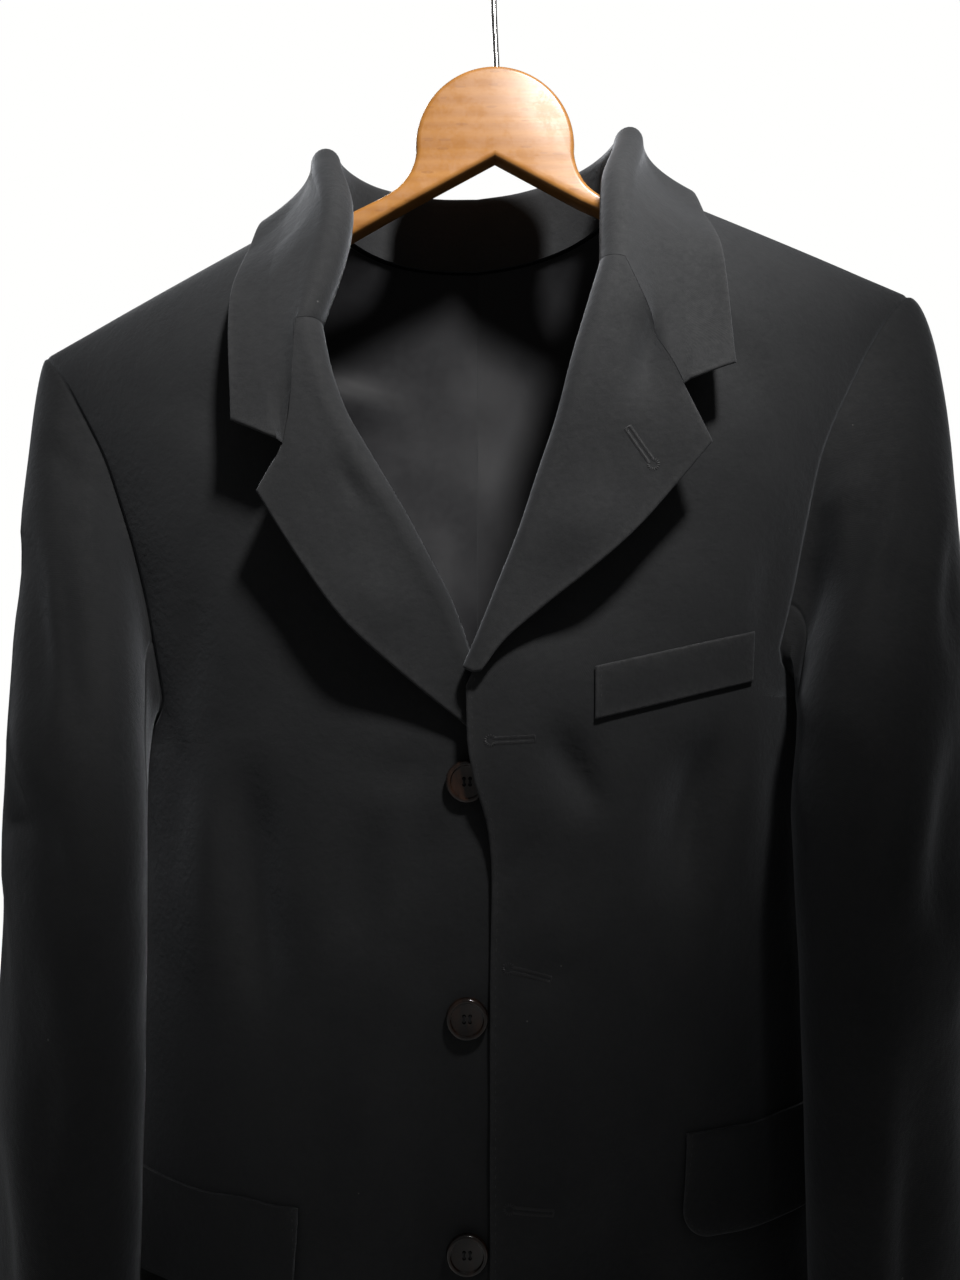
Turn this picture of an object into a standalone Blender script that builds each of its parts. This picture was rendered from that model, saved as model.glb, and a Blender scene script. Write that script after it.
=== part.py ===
"""A single-breasted notch-lapel blazer hanging open on its wooden hanger, each piece a closed solid.

Every cloth piece is a wall between two grids of points. The grids are worked out in the
measures of one half of the jacket: reach from the centre line towards that half's own side,
depth from the hanger's plane (negative in front) and height above the hook's hold.
Each half is then hung in place: moved to its side, and up or down as the jacket hangs askew.
The origin is inside the top of the hook's crook, +X is the wearer's left, -Y the front, +Z up.
Sizes are in metres, angles in degrees. A table has a row for each station, in the order given.
"""

import math

import bmesh
import bpy
import numpy as np

# Walls and the gaps between them
WALL = 0.0022
SEAM = 0.0004
SLEEVE_SEAM = 0.0006
GORGE_GAP = 0.0007
REST_GAP = 0.0003

# How the jacket hangs: its centre line, and how far its two halves are up or down
CENTRE = -0.0095
SHOULDER_LIFT = 0.0165
FRONT_LIFT = 0.0120
LIFT_DEPTH = 0.030
LIFT_DROP = 0.080
LIFT_INNER = 0.110
LIFT_OUTER = 0.185

# Shoulder line, neck and hem
SHOULDER_REACH = 0.230
NECK_REACH = 0.085
NECK_HEIGHT = -0.169
NECK_HOLLOW = 0.001
SHOULDER_FALL = 0.466
BACK_NECK_HEIGHT = -0.188
ROUND_DROP = 0.155
UNDERARM_HEIGHT = -0.447
HEM_HEIGHT = -0.925
FRONT_CORNER_HEIGHT = -0.915
SHOULDER_HEIGHT = NECK_HEIGHT - (SHOULDER_REACH - NECK_REACH) * SHOULDER_FALL

# Level sections of the body: height, half width, depth of front, side and back
BODY = (
    (-0.925, 0.206, -0.066, 0.014, 0.072),
    (-0.800, 0.202, -0.068, 0.014, 0.074),
    (-0.650, 0.194, -0.070, 0.014, 0.075),
    (-0.550, 0.188, -0.071, 0.014, 0.075),
    (-0.447, 0.185, -0.071, 0.014, 0.074),
    (-0.380, 0.197, -0.071, 0.010, 0.073),
    (-0.330, 0.211, -0.071, 0.006, 0.072),
    (-0.280, 0.234, -0.071, 0.003, 0.071),
    (-0.236, 0.262, -0.071, 0.000, 0.071),
    (-0.120, 0.270, -0.071, 0.000, 0.071),
)
FRONT_ROUNDS = (3.0, 1.45)
BACK_ROUNDS = (2.6, 2.0)

# Armhole edges, the two fronts' and the backs': drop below the shoulder point, reach
LEFT_ARMHOLE = (
    (0.000, 0.2300),
    (0.015, 0.2140),
    (0.033, 0.2008),
    (0.054, 0.1885),
    (0.071, 0.1795),
    (0.091, 0.1715),
    (0.120, 0.1655),
    (0.150, 0.1600),
    (0.181, 0.1525),
)
RIGHT_ARMHOLE = (
    (0.000, 0.2300),
    (0.015, 0.2160),
    (0.038, 0.2018),
    (0.062, 0.1889),
    (0.085, 0.1805),
    (0.110, 0.1728),
    (0.136, 0.1672),
    (0.156, 0.1638),
    (0.181, 0.1600),
)
BACK_ARMHOLE = (
    (0.000, 0.2300),
    (0.012, 0.2205),
    (0.029, 0.2125),
    (0.058, 0.2030),
    (0.091, 0.1960),
    (0.121, 0.1910),
    (0.151, 0.1865),
    (0.181, 0.1835),
)

# Front edge of each half from the hem corner up to the break: height, reach
LEFT_EDGE = (
    (-0.9150, 0.0440),
    (-0.9000, 0.0270),
    (-0.8700, 0.0140),
    (-0.8100, 0.0080),
    (-0.7100, 0.0061),
    (-0.5830, 0.0061),
    (-0.5270, 0.0070),
    (-0.5040, 0.0052),
    (-0.4780, -0.0017),
    (-0.4600, -0.0045),
    (-0.4305, -0.0050),
)
RIGHT_EDGE = (
    (-0.9150, 0.0260),
    (-0.9000, 0.0085),
    (-0.8700, -0.0050),
    (-0.8100, -0.0125),
    (-0.7100, -0.0158),
    (-0.5680, -0.0158),
    (-0.5000, -0.0138),
    (-0.4570, -0.0105),
    (-0.4345, -0.0050),
)

# Roll line of each lapel as it shows, from the break up to the gorge: height, reach
LEFT_ROLL = (
    (-0.4305, -0.0050),
    (-0.4160, 0.0015),
    (-0.3930, 0.0107),
    (-0.3698, 0.0200),
    (-0.3419, 0.0293),
    (-0.3139, 0.0386),
    (-0.2858, 0.0457),
    (-0.2432, 0.0585),
)
RIGHT_ROLL = (
    (-0.4345, -0.0050),
    (-0.4180, -0.0005),
    (-0.4003, 0.0045),
    (-0.3782, 0.0123),
    (-0.3551, 0.0239),
    (-0.3296, 0.0378),
    (-0.3064, 0.0517),
    (-0.2899, 0.0611),
    (-0.2680, 0.0690),
    (-0.2470, 0.0735),
)

# Outer edge of each lapel, from the break to its tip: reach, height
LEFT_LAPEL = (
    (0.0022, -0.4300),
    (0.0107, -0.4183),
    (0.0289, -0.4023),
    (0.0515, -0.3842),
    (0.0738, -0.3640),
    (0.0913, -0.3442),
    (0.1066, -0.3262),
)
RIGHT_LAPEL = (
    (0.0022, -0.4342),
    (0.0075, -0.4292),
    (0.0169, -0.4218),
    (0.0351, -0.4066),
    (0.0599, -0.3829),
    (0.0799, -0.3558),
    (0.0995, -0.3247),
)
LEFT_NOTCH, LEFT_COLLAR_CORNER = (0.0940, -0.2996), (0.1184, -0.2892)
RIGHT_NOTCH, RIGHT_COLLAR_CORNER = (0.0878, -0.3027), (0.1118, -0.2923)

# How a lapel rolls and stands off the chest, at its break and at its top
ROLL_RADIUS = (0.0030, 0.0078)
LAPEL_STAND = (0.0045, 0.0200)
# Share of its length over which its stand grows, how it arches outwards, how late it bends to the notch
STAND_RISE, LEAF_ARCH, NOTCH_BEND = 0.55, 1.5, 7

# The upper front stands proud of the lower one, most of all near its break: height, how far
PROUD = (
    (-0.925, 0.0036),
    (-0.560, 0.0036),
    (-0.530, 0.0044),
    (-0.480, 0.0110),
    (-0.435, 0.0135),
    (-0.380, 0.0060),
    (-0.320, 0.0000),
    (-0.120, 0.0000),
)
PROUD_REACH = 0.052

# Collar from the gorge to the centre back: share of the way, then the middle of the fold
# (reach, depth, height), the outer edge (reach, depth, height), the fold's radius and the
# way that it faces, turned from the side towards the back
COLLAR = (
    (0.000, 0.000, 0.000, 0.000, 0.000, 0.000, 0.000, 0.0078, -80.0),
    (0.245, 0.0690, -0.052, -0.1920, 0.1165, -0.066, -0.2360, 0.0070, -48.0),
    (0.400, 0.0765, -0.027, -0.1620, 0.1140, -0.040, -0.2050, 0.0060, -20.0),
    (0.547, 0.0800, -0.003, -0.1460, 0.1110, -0.004, -0.1765, 0.0052, 0.0),
    (0.638, 0.0740, 0.018, -0.1460, 0.0990, 0.027, -0.1815, 0.0048, 30.0),
    (0.760, 0.0570, 0.037, -0.1480, 0.0710, 0.049, -0.1925, 0.0045, 55.0),
    (0.920, 0.0200, 0.052, -0.1505, 0.0240, 0.0642, -0.1980, 0.0045, 82.0),
    (1.000, 0.0000, 0.054, -0.1510, 0.0000, 0.066, -0.1990, 0.0045, 90.0),
)
# Share of its breadth at which the gorge ends, share of its length over which its end fades in,
# how far its fall is arched, and how far its stand's foot reaches past the lapel's fold
NOTCH_SHARE = 0.62
END_FADE = 0.17
FALL_ARCH = 0.3
STAND_ENDS = (0.0024, 0.0008)

# Sleeve below the armpit: height, reach and depth of its middle, half length, half breadth, turn
LEFT_SLEEVE = (
    (-0.500, 0.1985, -0.0520, 0.0620, 0.0390, 38.0),
    (-0.580, 0.1990, -0.0540, 0.0605, 0.0360, 38.0),
    (-0.660, 0.1975, -0.0570, 0.0570, 0.0340, 36.0),
    (-0.760, 0.1960, -0.0600, 0.0530, 0.0330, 32.0),
    (-0.885, 0.1940, -0.0680, 0.0480, 0.0320, 28.0),
)
RIGHT_SLEEVE = (
    (-0.500, 0.1955, -0.0510, 0.0575, 0.0318, 30.0),
    (-0.580, 0.1962, -0.0535, 0.0570, 0.0320, 30.0),
    (-0.660, 0.1965, -0.0570, 0.0545, 0.0320, 29.0),
    (-0.760, 0.1970, -0.0600, 0.0515, 0.0322, 28.0),
    (-0.885, 0.1950, -0.0680, 0.0480, 0.0320, 27.0),
)
SLEEVE_ROUND = 2.3
# Where the sleeve's folds may start: distance outside the body's side or in front of the armhole's
# front, what is added to it, and over what distance they then deepen
FOLD_FRONT, FOLD_ADDED, FOLD_FADE = 0.02, 0.01, 0.03
# Where the sleeve's rings take their points: share of the way round from the shoulder point
# over the front, turn on the oval, how far the cloth leaves the armhole outwards
SLEEVE_TURNS = (
    (0.00, 270.0, 0.25),
    (0.25, 180.0, 0.90),
    (0.50, 60.0, 1.60),
    (0.75, 0.0, 0.70),
    (1.00, -90.0, 0.25),
)
# How strongly the cloth leaves each armhole: at least, and more by the length of its fall
LEFT_PULL, RIGHT_PULL = (0.018, 0.180), (0.014, 0.040)
HANG_PULL = 0.90

# Largest folds: reach and height of both ends, half width, depth (a ridge is below 0)
LEFT_FOLDS = (
    (0.108, -0.458, 0.088, -0.545, 0.016, 0.0065),
    (0.138, -0.430, 0.128, -0.560, 0.012, -0.0035),
    (0.036, -0.452, 0.052, -0.500, 0.010, 0.0035),
    (0.060, -0.640, 0.085, -0.800, 0.020, 0.0040),
    (0.120, -0.730, 0.105, -0.900, 0.018, -0.0035),
)
RIGHT_FOLDS = (
    (0.108, -0.440, 0.098, -0.590, 0.014, 0.0075),
    (0.140, -0.460, 0.132, -0.590, 0.012, -0.0035),
    (0.046, -0.470, 0.064, -0.540, 0.011, 0.0035),
    (0.018, -0.570, 0.026, -0.740, 0.013, 0.0040),
    (0.090, -0.680, 0.080, -0.860, 0.020, 0.0035),
)
BACK_FOLDS = (
    (0.150, -0.300, 0.120, -0.430, 0.016, 0.0045),
    (0.095, -0.450, 0.110, -0.640, 0.018, 0.0050),
    (0.050, -0.640, 0.060, -0.880, 0.020, 0.0040),
    (0.150, -0.560, 0.140, -0.780, 0.016, -0.0035),
)
LEFT_SLEEVE_FOLDS = (
    (0.216, -0.330, 0.176, -0.430, 0.011, 0.0060),
    (0.222, -0.450, 0.200, -0.560, 0.014, 0.0050),
    (0.205, -0.580, 0.188, -0.760, 0.015, 0.0045),
    (0.232, -0.650, 0.214, -0.820, 0.012, -0.0035),
)
RIGHT_SLEEVE_FOLDS = (
    (0.226, -0.330, 0.190, -0.440, 0.011, 0.0055),
    (0.216, -0.420, 0.182, -0.480, 0.010, -0.0040),
    (0.196, -0.520, 0.186, -0.640, 0.014, 0.0050),
    (0.222, -0.600, 0.200, -0.780, 0.013, 0.0040),
)
BACK_SLEEVE_FOLDS = (
    (0.225, -0.360, 0.200, -0.450, 0.012, 0.0045),
    (0.236, -0.540, 0.206, -0.600, 0.012, 0.0055),
    (0.232, -0.610, 0.204, -0.660, 0.011, 0.0040),
)

# Chest welt: distance round from the centre line, length, height at its near end, rise, breadth
WELT_START, WELT_LENGTH, WELT_HEIGHT, WELT_RISE, WELT_BREADTH = 0.0555, 0.084, -0.4525, 0.017, 0.0245
WELT_THICK = 0.0020
# Hip flaps: distance round from the centre line, length, breadth, corner radius, and top heights
LEFT_FLAP_START, RIGHT_FLAP_START = 0.100, 0.087
FLAP_LENGTH, FLAP_BREADTH, FLAP_CORNER = 0.098, 0.0490, 0.014
FLAP_THICK, FLAP_LIFT = 0.0022, 0.0016
LEFT_FLAP_HEIGHT, RIGHT_FLAP_HEIGHT = -0.6500, -0.6600

# Buttons on the lower front
BUTTON_REACH = 0.0045
BUTTON_HEIGHTS = (-0.4575, -0.5676, -0.6780)
BUTTON_RADIUS, BUTTON_THICK = 0.0100, 0.0042
BUTTON_RIM, BUTTON_DISH = 0.0026, 0.0011
BUTTON_STEPS = 16
BUTTON_GAP = 0.0005

# Hanger: a flat board with a round head and a notch under it
BOARD_THICK = 0.013
BOARD_EASE = 0.0030
HEAD_RADIUS, HEAD_HEIGHT, HEAD_TURN = 0.0423, -0.1408, 95
ARM_INNER, ARM_END, ARM_TIP = 0.060, 0.202, 0.020
# The notch's top, the fall of its sides, and the share of ARM_INNER at which they end
NOTCH_HEIGHT, NOTCH_FALL, NOTCH_END = -0.1472, 0.54, 0.75
# How far an arm's upper edge is below the cloth's inner side at ARM_INNER and at ARM_END
ARM_GAPS = (0.0085, 0.0012)
ARM_SINK = 0.00253
HEAD_FLARE = 0.002
WIRE_RADIUS = 0.0016
CROOK_RADIUS = 0.0205
CROOK_TURNS = (-38, 208)

# Grid sizes, and how the rows lie: gathered towards the shoulder, level up to a share of the height
# and then along the shoulder line, and bowed upwards less and less
SKIRT_ROWS, ROLL_ROWS, NECK_ROWS = 9, 8, 4
UPPER_ROWS = ROLL_ROWS + NECK_ROWS
FRONT_COLUMNS, BACK_COLUMNS = 13, 12
HEAD_RINGS, ARM_RINGS = 9, 8
FRONT_SEAM, BACK_SEAM = 9, 20
ROLL_STEPS, GORGE_STEPS, TIP_STEPS, STAND_STEPS = 5, 4, 2, 3
COLLAR_HALF = 13
DENSE = 121
STEP = 0.01
ROW_GATHER, RING_GATHER, FLAP_GATHER = 0.35, 1.25, 1.4
LEVEL_SHARE = 0.35
SKIRT_BOW, UPPER_BOWS = 3.0, (2.2, 1.0)


def smooth_step(low, high, value):
    """0 up to low, 1 from high on, and smooth between them."""
    share = np.clip((np.asarray(value, float) - low) / (high - low), 0, 1)
    return share * share * (3 - 2 * share)


def steady_slopes(keys, values):
    """Slopes at a table's rows that never carry its curve past them."""
    rises = np.diff(values, axis=0) / np.diff(keys)[:, None]
    before, after = rises[:-1], rises[1:]
    total = np.where(np.abs(before + after) < 1e-12, 1.0, before + after)
    inner = np.where(before * after > 0, 2 * before * after / total, 0.0)
    return np.concatenate([rises[:1], inner, rises[-1:]])


def curve_through(table, at, slopes_of=steady_slopes):
    """The other columns of a table at each key, on a smooth curve through its rows."""
    table = np.asarray(table, float)
    keys, values = table[:, 0], table[:, 1:]
    slopes = slopes_of(keys, values)
    at = np.clip(np.asarray(at, float), keys[0], keys[-1])
    low = np.clip(np.searchsorted(keys, at, side="right") - 1, 0, len(keys) - 2)
    step = keys[low + 1] - keys[low]
    t = ((at - keys[low]) / step)[..., None]
    step = step[..., None]
    return (
        values[low] * (1 + 2 * t) * (1 - t) ** 2
        + slopes[low] * step * t * (1 - t) ** 2
        + values[low + 1] * t * t * (3 - 2 * t)
        + slopes[low + 1] * step * t * t * (t - 1)
    )


def lengths_along(points):
    """Distance along a line of points from its first one to each."""
    steps = np.linalg.norm(np.diff(points, axis=0), axis=1)
    return np.concatenate([[0.0], np.cumsum(steps)])


def spaced(points, shares):
    """Points at the given shares of a line's length."""
    points = np.asarray(points, float)
    run = lengths_along(points)
    wanted = np.asarray(shares) * run[-1]
    return np.stack([np.interp(wanted, run, column) for column in points.T], 1)


def round_slopes(keys, values):
    """Slopes at a table's rows for the roundest curve through them."""
    return np.gradient(values, keys, axis=0)


def smooth_line(points, shares):
    """Points at shares of the length of a smooth curve through a few points."""
    points = np.asarray(points, float)
    table = np.column_stack([lengths_along(points), points])
    dense = curve_through(table, np.linspace(0, table[-1, 0], DENSE), round_slopes)
    return spaced(dense, shares)


def gathered(count, pull):
    """Shares from 0 to 1 that lie closer together towards 1."""
    even = np.linspace(0, 1, count + 1)
    return even + pull * np.sin(math.pi * even) / math.pi


def unit(vectors):
    """Vectors brought to length 1."""
    vectors = np.asarray(vectors, float)
    return vectors / np.linalg.norm(vectors, axis=-1, keepdims=True)


def grid_normals(points, sign):
    """The normal at each point of a grid, to the side that the sign picks."""
    down, across = np.gradient(points, axis=0), np.gradient(points, axis=1)
    return sign * unit(np.cross(across, down))


def fold_depth(reach, height, folds):
    """How far the cloth dips at each point, from a table of folds."""
    total = np.zeros(np.broadcast(reach, height).shape)
    for start_reach, start_height, end_reach, end_height, half_width, depth in folds:
        run = np.array([end_reach - start_reach, end_height - start_height])
        length = np.hypot(*run)
        away_reach, away_height = reach - start_reach, height - start_height
        along = (away_reach * run[0] + away_height * run[1]) / length**2
        aside = (away_reach * run[1] - away_height * run[0]) / length
        taper = np.clip(1 - (2 * along - 1) ** 2, 0, 1) ** 1.5
        total += depth * taper * np.exp(-((aside / half_width) ** 2))
    return total


def ridge(reach):
    """Height of the shoulder line at a reach, carried on to the centre line."""
    return NECK_HEIGHT - (np.abs(reach) - NECK_REACH) * SHOULDER_FALL


def back_top(reach):
    """Height of the back's upper edge: the neckline, then the shoulder line."""
    neck = BACK_NECK_HEIGHT + (NECK_HEIGHT - BACK_NECK_HEIGHT) * (np.abs(reach) / NECK_REACH) ** 3
    return np.where(np.abs(reach) < NECK_REACH, neck, ridge(reach))


def row_shape(rise):
    """How far a row above the break follows the shoulder line, and its bow."""
    return float(smooth_step(LEVEL_SHARE, 1, rise)), UPPER_BOWS[0] + (UPPER_BOWS[1] - UPPER_BOWS[0]) * rise


class Face:
    """The front or the back surface of one half of the body."""

    def __init__(self, column, rounds, top, armhole, folds, proud=None):
        self.column, self.rounds, self.top = column, rounds, top
        self.armhole_table, self.folds, self.proud = armhole, folds, proud

    def angle(self, reach, height):
        """The turn round the body's section at which it has this reach."""
        share = np.asarray(reach) / curve_through(BODY, height)[..., 0]
        return np.arccos(np.clip(np.sign(share) * np.abs(share) ** (self.rounds[0] / 2), -1, 1))

    def reach(self, angle, height):
        """Reach at a turn round the section."""
        cosine = np.cos(angle)
        half_width = curve_through(BODY, height)[..., 0]
        return half_width * np.sign(cosine) * np.abs(cosine) ** (2 / self.rounds[0])

    def point(self, angle, height):
        """Points of the surface, with its folds."""
        body = curve_through(BODY, height)
        reach = self.reach(angle, height)
        share = np.abs(np.sin(angle)) ** (2 / self.rounds[1])
        under = np.clip(1 - np.clip(ridge(reach) - height, 0, None) / ROUND_DROP, 0, 1)
        full = np.sqrt(1 - under**2)
        depth = (body[..., 2] + (body[..., self.column] - body[..., 2]) * share) * full
        inwards = -np.sign(body[..., self.column])
        depth = depth + inwards * share * fold_depth(reach, height, self.folds)
        if self.proud:
            proud = curve_through(self.proud, height)[..., 0]
            depth = depth - proud * np.exp(-((reach / PROUD_REACH) ** 2))
        return np.stack([reach, depth, np.broadcast_to(height, reach.shape)], -1)

    def at(self, reach, height):
        """Points of the surface at a reach and a height."""
        return self.point(self.angle(reach, height), np.asarray(height, float))

    def normals(self, points, outwards):
        """Normals of the surface at its points, outwards by 1 at the front and -1 at the back."""
        reach, height = points[..., 0], points[..., 2]
        angle = self.angle(reach, height)
        across = self.point(angle + STEP, height) - self.point(np.maximum(angle - STEP, 0), height)
        upwards = self.point(angle, height + STEP / 10) - self.point(angle, height - STEP / 10)
        return outwards * unit(np.cross(upwards, across))

    def row(self, start, end, stations, top_share=0.0, bow=1.0):
        """One row of points across the surface, between two (turn, height) ends."""
        along = np.linspace(0, 1, DENSE)
        angle = start[0] + (end[0] - start[0]) * along
        level = start[1] + (end[1] - start[1]) * (1 - (1 - along) ** bow)
        height = level
        for _ in range(5 if top_share else 0):
            reach = self.reach(angle, height)
            first, last = self.top(reach[0]) - start[1], self.top(reach[-1]) - end[1]
            under = self.top(reach) - (first + (last - first) * along)
            height = level * (1 - top_share) + under * top_share
        return spaced(self.point(angle, height), stations)

    def armhole(self, shares):
        """(turn, height) of the armhole's edge, from the underarm to the shoulder point."""
        drops = np.linspace(self.armhole_table[-1][0], 0, DENSE)
        reach = curve_through(self.armhole_table, drops)[:, 0]
        height = SHOULDER_HEIGHT - drops
        side = self.at(reach, height)
        low = side[0]
        side_depth = curve_through(BODY, UNDERARM_HEIGHT)[2]
        swing = np.radians(np.linspace(90, 0, DENSE, endpoint=False))
        depth = side_depth + (low[1] - side_depth) * np.cos(swing)
        under = low[2] - (low[2] - UNDERARM_HEIGHT) * np.sin(swing)
        body = curve_through(BODY, under)
        share = np.clip((depth - body[:, 2]) / (body[:, self.column] - body[:, 2]), 0, 1)
        angle = np.arcsin(share ** (self.rounds[1] / 2))
        angles = np.concatenate([angle, self.angle(reach, height)])
        heights = np.concatenate([under, height])
        run = lengths_along(self.point(angles, heights))
        wanted = np.asarray(shares) * run[-1]
        return list(zip(np.interp(wanted, run, angles), np.interp(wanted, run, heights)))


class Half:
    """One half of the jacket, with its own front edge, lapel and sleeve."""

    def __init__(
        self, name, sign, edge, armhole, roll, lapel, notch, corner, sleeve, pull, folds, sleeve_folds,
        proud,
    ):
        self.name, self.sign, self.pull = name, sign, pull
        self.edge, self.roll, self.lapel_edge = edge, roll, lapel
        self.notch, self.corner, self.sleeve_table = notch, corner, sleeve
        self.sleeve_folds = sleeve_folds
        self.front = Face(1, FRONT_ROUNDS, ridge, armhole, folds, proud)
        self.back = Face(3, BACK_ROUNDS, back_top, BACK_ARMHOLE, BACK_FOLDS)

    def hang(self, points):
        """Points of this half where the jacket really hangs."""
        points = np.array(points, float)
        reach, depth, height = points[..., 0], points[..., 1], points[..., 2]
        level = self.sign * SHOULDER_LIFT * reach / SHOULDER_REACH
        front = smooth_step(0, LIFT_DEPTH, -depth) * smooth_step(0, LIFT_DROP, ridge(reach) - height)
        front = front * (1 - smooth_step(LIFT_INNER, LIFT_OUTER, np.abs(reach)))
        lift = level + front * (self.sign * FRONT_LIFT - level)
        return np.stack([CENTRE + self.sign * reach, depth, height + lift], -1)

    def front_grid(self):
        """The front's outer points, rows from the hem to the shoulder, columns outwards."""
        stations = np.linspace(0, 1, FRONT_COLUMNS + 1)
        break_height = self.roll[0][0]
        rows = []
        for i in range(SKIRT_ROWS):
            share = i / SKIRT_ROWS
            near = FRONT_CORNER_HEIGHT + (break_height - FRONT_CORNER_HEIGHT) * share
            far = HEM_HEIGHT + (UNDERARM_HEIGHT - HEM_HEIGHT) * share
            start = (self.front.angle(curve_through(self.edge, near)[0], near), near)
            rows.append(self.front.row(start, (0.0, far), stations, bow=SKIRT_BOW))
        inner = self.inner_line()
        outer = self.front.armhole(gathered(UPPER_ROWS, ROW_GATHER))
        for j, ((reach, height), end) in enumerate(zip(inner, outer)):
            start = (self.front.angle(reach, height), height)
            rows.append(self.front.row(start, end, stations, *row_shape(j / UPPER_ROWS)))
        grid = np.array(rows)
        grid[:SKIRT_ROWS + 1, -1, 1] -= SEAM / 2
        grid[-1, :, 1] -= SEAM / 2
        return grid

    def inner_line(self):
        """(reach, height) of the front's inner edge above the break: the roll, then the neckline."""
        shares = np.linspace(0, 1, ROLL_ROWS + 1)
        heights = self.roll[0][0] + (self.roll[-1][0] - self.roll[0][0]) * shares
        radius = ROLL_RADIUS[0] + (ROLL_RADIUS[1] - ROLL_RADIUS[0]) * shares
        roll = np.stack([curve_through(self.roll, heights)[:, 0] + radius, heights], 1)
        first, last = roll[-1], np.array([NECK_REACH, NECK_HEIGHT])
        hollow = (first + last) / 2 - (NECK_HOLLOW, 0)
        dense = smooth_line([first, hollow, last], np.linspace(0, 1, DENSE))
        level = np.minimum(dense[:, 1], ridge(dense[:, 0]))
        run = lengths_along(self.front.at(dense[:, 0], level))
        wanted = np.linspace(0, 1, NECK_ROWS + 1)[1:] * run[-1]
        neck = np.stack([np.interp(wanted, run, column) for column in dense.T], 1)
        return np.concatenate([roll, neck])

    def back_grid(self):
        """The back's outer points, rows from the hem to the shoulder, columns outwards."""
        outer = self.back.armhole(gathered(UPPER_ROWS, ROW_GATHER))
        centre = math.pi / 2
        top = self.back.row((centre, BACK_NECK_HEIGHT), outer[-1], np.linspace(0, 1, DENSE), 1.0)
        run = lengths_along(top)
        neck_share = np.interp(NECK_REACH, top[:, 0], run) / run[-1]
        neck_column = round(neck_share * BACK_COLUMNS)
        stations = np.concatenate([
            np.linspace(0, neck_share, neck_column + 1),
            np.linspace(neck_share, 1, BACK_COLUMNS - neck_column + 1)[1:],
        ])
        rows = []
        for i in range(SKIRT_ROWS):
            height = HEM_HEIGHT + (UNDERARM_HEIGHT - HEM_HEIGHT) * i / SKIRT_ROWS
            rows.append(self.back.row((centre, height), (0.0, height), stations))
        for j, end in enumerate(outer):
            share = j / UPPER_ROWS
            height = UNDERARM_HEIGHT + (BACK_NECK_HEIGHT - UNDERARM_HEIGHT) * share
            rows.append(self.back.row((centre, height), end, stations, *row_shape(share)))
        grid = np.array(rows)
        grid[:SKIRT_ROWS + 1, -1, 1] += SEAM / 2
        on_shoulder = grid[-1, :, 0] >= NECK_REACH - SEAM
        grid[-1, on_shoulder, 1] += SEAM / 2
        grid[:, 0, 0] = SEAM / 2
        return grid

    def body_normals(self, face, grid, outwards):
        """Normals of a front or back grid, level with the other panel's along shared seams."""
        normals = face.normals(grid, outwards)
        normals[:SKIRT_ROWS + 1, -1, 1] = 0
        seam = grid[-1, :, 0] >= NECK_REACH - SEAM
        normals[-1, seam] = (SHOULDER_FALL, 0, 1)
        if outwards < 0:
            normals[:, 0, 0] = 0
        return unit(normals)

    def lapel_grid(self, front, normals):
        """The lapel's outer points, rows from the break to the gorge, columns from the fold."""
        edge = front[SKIRT_ROWS:SKIRT_ROWS + ROLL_ROWS + 1, 0]
        facing = normals[SKIRT_ROWS:SKIRT_ROWS + ROLL_ROWS + 1, 0]
        upwards = unit(np.gradient(edge, axis=0))
        inwards = unit(np.cross(facing, upwards))
        inwards *= -np.sign(inwards[:, :1])
        shares = np.linspace(0, 1, ROLL_ROWS + 1)
        tips = smooth_line(self.lapel_edge, shares)
        rows = []
        for j, share in enumerate(shares):
            radius = ROLL_RADIUS[0] + (ROLL_RADIUS[1] - ROLL_RADIUS[0]) * share
            start = edge[j] - facing[j] * WALL + inwards[j] * SEAM
            turns = np.radians(np.linspace(0, 180, ROLL_STEPS + 1))[:, None]
            roll = start + inwards[j] * radius * np.sin(turns) + facing[j] * radius * (1 - np.cos(turns))
            rows.append(np.concatenate([roll, self.lapel_leaf(roll[-1], tips[j], share)[1:]]))
        return np.array(rows)

    def lapel_leaf(self, start, tip, share):
        """One row of the lapel's flat part, from the end of its roll to its outer edge."""
        across = np.concatenate([
            np.linspace(0, NOTCH_SHARE, GORGE_STEPS + 1),
            np.linspace(NOTCH_SHARE, 1, TIP_STEPS + 1)[1:],
        ])[:, None]
        first, last = start[[0, 2]], np.asarray(tip)
        straight = first + (last - first) * across
        bend = np.asarray(self.notch) - (first + (last - first) * NOTCH_SHARE)
        pull = np.minimum(across / NOTCH_SHARE, (1 - across) / (1 - NOTCH_SHARE))
        straight = straight + bend * pull * share**NOTCH_BEND
        chest = self.front.at(straight[:, 0], straight[:, 1])
        stand = LAPEL_STAND[0] + (LAPEL_STAND[1] - LAPEL_STAND[0]) * smooth_step(0, STAND_RISE, share)
        near = self.front.at(first[0], first[1])[1] - start[1]
        chest[:, 1] -= near + (stand - near) * across[:, 0] ** LEAF_ARCH
        return chest

    def neckline(self, front, front_normals, back, back_normals):
        """The neckline from the gorge to the centre back, and the normals along it."""
        rows = slice(SKIRT_ROWS + ROLL_ROWS, -1)
        on_neck = back[-1, :, 0] < NECK_REACH + SEAM
        points = np.concatenate([front[rows, 0], back[-1, on_neck][::-1]])
        facing = np.concatenate([front_normals[rows, 0], back_normals[-1, on_neck][::-1]])
        return points, facing

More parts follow.
